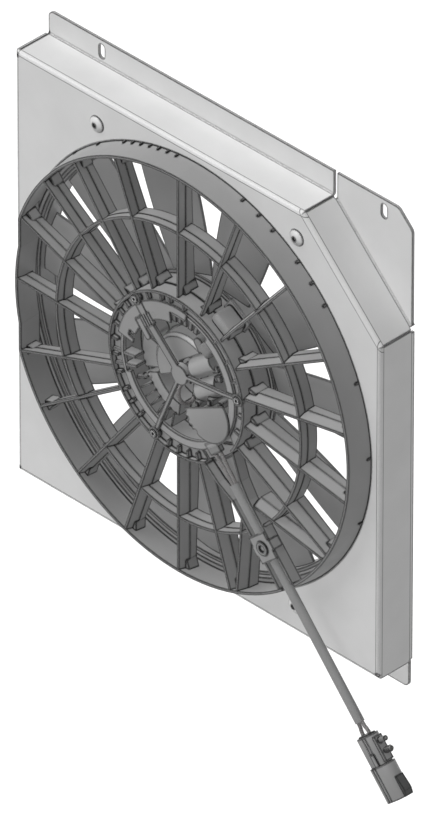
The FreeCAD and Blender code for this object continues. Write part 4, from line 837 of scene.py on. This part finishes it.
def edges(tree, radius):
    """Mask of painted shade lines: 1 on sharp edges, falling to 0 a radius away, and 1 where two
    pieces meet.
    """
    rounded = tree.nodes.new("ShaderNodeBevel")
    rounded.samples = LINE_SAMPLES
    rounded.inputs["Radius"].default_value = radius
    geometry = tree.nodes.new("ShaderNodeNewGeometry")
    dot = tree.nodes.new("ShaderNodeVectorMath")
    dot.operation = "DOT_PRODUCT"
    tree.links.new(rounded.outputs["Normal"], dot.inputs[0])
    tree.links.new(geometry.outputs["Normal"], dot.inputs[1])
    # Painted shade: the edge mask darkens sharp edges as shade lines, not as wear.
    painted_edge_shade = spread(tree, dot.outputs["Value"], 1, 0, low_at=0.978, high_at=0.996)
    return maths(tree, "MAXIMUM", painted_edge_shade, contacts(tree))


def scaled(colour, share):
    return tuple(channel * share for channel in colour)


def plastic(name, colour):
    """Moulded plastic: fine grain, faint flow marks, and painted shade lines along its edges and
    where it meets other pieces.
    """
    material, tree, shader = new_finish(name, colour, PLASTIC_ROUGHNESS)
    shader.inputs["Specular IOR Level"].default_value = PLASTIC_SPECULAR
    flow = spread(tree, noise(tree, scale=14, detail=2), 0, 1)
    body = blend_colours(tree, flow, scaled(colour, 0.94), scaled(colour, 1.05))
    # Painted shade: sharp edges and the lines where pieces meet darken to EDGE_SHADE of the
    # colour.
    lined = blend_colours(tree, edges(tree, PLASTIC_EDGE), body, scaled(colour, EDGE_SHADE))
    tree.links.new(lined, shader.inputs["Base Color"])
    grain = noise(tree, scale=1600, detail=2)
    sheen = spread(tree, noise(tree, scale=60, detail=3), PLASTIC_ROUGHNESS - 0.06,
                   PLASTIC_ROUGHNESS + 0.08)
    tree.links.new(sheen, shader.inputs["Roughness"])
    bump(tree, shader, grain, strength=0.12, distance=0.1 * MM)
    return material


def sheet_lines(tree):
    """1 on the thin lines where the sheet's flats run into its bends."""
    coordinates = tree.nodes.new("ShaderNodeTexCoord")
    split = tree.nodes.new("ShaderNodeSeparateXYZ")
    tree.links.new(coordinates.outputs["Object"], split.inputs[0])
    x, y, z = split.outputs
    flat = PAN_HALF - BEND
    slope = maths(tree, "ADD", x, z)
    reach = 2 * PAN_HALF - CHAMFER - BEND * math.sqrt(2)
    on_front = maths(tree, "LESS_THAN", y, BEND - PAN_DEPTH)
    across = maths(tree, "COMPARE", maths(tree, "ABSOLUTE", x), flat, BEND_LINE)
    upright = maths(tree, "COMPARE", maths(tree, "ABSOLUTE", z), flat, BEND_LINE)
    corner = maths(tree, "COMPARE", slope, reach, BEND_LINE * math.sqrt(2))
    front = maths(tree, "MAXIMUM", maths(tree, "MAXIMUM", across, upright), corner)
    near_bend = maths(tree, "COMPARE", y, BEND - PAN_DEPTH, BEND_LINE)
    at_flange = maths(tree, "COMPARE", y, -BEND, BEND_LINE)
    walls = maths(tree, "MAXIMUM", near_bend, at_flange)
    return maths(tree, "MAXIMUM", maths(tree, "MULTIPLY", front, on_front), walls)


def metal(name, colour, roughness=0.45, metallic=0.35, stretch=(1, 1, 1), extra_lines=None):
    """Bare or plated metal with a fine worked surface."""
    material, tree, shader = new_finish(name, colour, roughness, metallic)
    cloud = spread(tree, noise(tree, scale=22, detail=3), 0, 1)
    body = blend_colours(tree, cloud, scaled(colour, 0.96), scaled(colour, 1.03))
    # Painted shade: sharp edges and the lines where pieces meet darken to EDGE_SHADE of the
    # colour.
    lined = blend_colours(tree, edges(tree, METAL_EDGE), body, scaled(colour, EDGE_SHADE))
    if extra_lines:
        lined = blend_colours(tree, extra_lines(tree), lined, scaled(colour, BEND_SHADE))
    tree.links.new(lined, shader.inputs["Base Color"])
    lines = noise(tree, scale=420, detail=4, stretch=stretch)
    tree.links.new(spread(tree, lines, roughness - 0.07, roughness + 0.07),
                   shader.inputs["Roughness"])
    bump(tree, shader, lines, strength=0.10, distance=0.05 * MM)
    return material


def make_finishes():
    housing = plastic("housing_plastic", (0.228, 0.228, 0.228))
    wheel = plastic("wheel_plastic", (0.215, 0.215, 0.215))
    clip = plastic("clip_plastic", (0.235, 0.235, 0.235))
    plug = plastic("plug_plastic", (0.225, 0.225, 0.225))
    dark = plastic("latch_plastic", (0.05, 0.05, 0.05))
    zinc = metal("zinc_steel", (0.52, 0.52, 0.52))
    cast = metal("motor_metal", (0.24, 0.24, 0.24), metallic=0.2)
    bell = metal("bell_metal", (0.215, 0.215, 0.215), metallic=0.1)
    rotor = metal("rotor_steel", (0.33, 0.33, 0.33))
    bearing = metal("bearing_steel", (0.5, 0.5, 0.5), roughness=0.3)
    lead = plastic("lead_cover", (0.26, 0.25, 0.25))
    chip = plastic("chip_plastic", (0.17, 0.17, 0.17))
    finishes = {
        "shroud_pan": metal("pan_metal", (0.565, 0.565, 0.565), roughness=0.55, metallic=0.0,
                            stretch=(1, 1, 12), extra_lines=sheet_lines),
        "rotor_magnets": metal("magnet", (0.12, 0.12, 0.13)),
        "stator_core": metal("core_steel", (0.25, 0.25, 0.26), stretch=(0.1, 12, 0.1)),
        "stator_windings": metal("copper", (0.45, 0.22, 0.11), 0.35, 0.7),
        "circuit_board": plastic("board", (0.19, 0.195, 0.19)),
        "capacitors": metal("can_metal", (0.25, 0.25, 0.25), 0.4),
        "choke": metal("ferrite", (0.13, 0.13, 0.13)),
        "cable_gland": plastic("rubber_seal", (0.18, 0.18, 0.18)),
        "connector_seal": plastic("seal_rubber", (0.10, 0.10, 0.10)),
        "cable_sheath": plastic("sheath", (0.22, 0.22, 0.22)),
        "connector_blades": metal("contact", (0.55, 0.50, 0.40), 0.3, 0.8),
        "lead_positive": lead, "lead_negative": lead,
    }
    groups = (
        (housing, ("fan_barrel", "guard_vanes", "guard_mid_ring", "guard_hub_ring",
                   "cable_channel", "spider_bracket")),
        (wheel, ("fan_hub", "fan_blades", "fan_band")),
        (clip, ("channel_clip", "sector_cover", "round_cover", "terminal_cover")),
        (chip, ("transistors", "film_capacitor")),
        (plug, ("connector_housing", "connector_shell", "loom_clip")),
        (dark, ("connector_latch",)),
        (zinc, ("mounting_bolts", "mounting_nuts", "lug_sleeves", "spider_screws", "fan_screws")),
        (cast, ("motor_base", "heat_sink", "bearing_tube")),
        (bell, ("end_bell",)),
        (rotor, ("rotor_cup",)),
        (bearing, ("motor_shaft", "bearing_outer_races", "bearing_inner_races", "shaft_clip")),
    )
    for material, nodes in groups:
        for node in nodes:
            finishes[node] = material
    return finishes


def paint_nodes():
    for node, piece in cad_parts.items():
        piece.material_slots[0].material = FINISHES[node]


# Build
add_camera()
for light in LIGHTS:
    add_sun(*light)
add_world()
add_floor()
FINISHES = make_finishes()
paint_nodes()
add_plug_shell()
add_plug_housing()
add_leads()
add_sheath()
add_blades()
add_ring_pocket()
add_ring_ribs()
add_sensor_post()
add_board_parts()
add_wire_loop()
add_cut_cover()
add_barrel_bead()
add_ear_rings()
bpy.context.scene.view_settings.view_transform = "Standard"
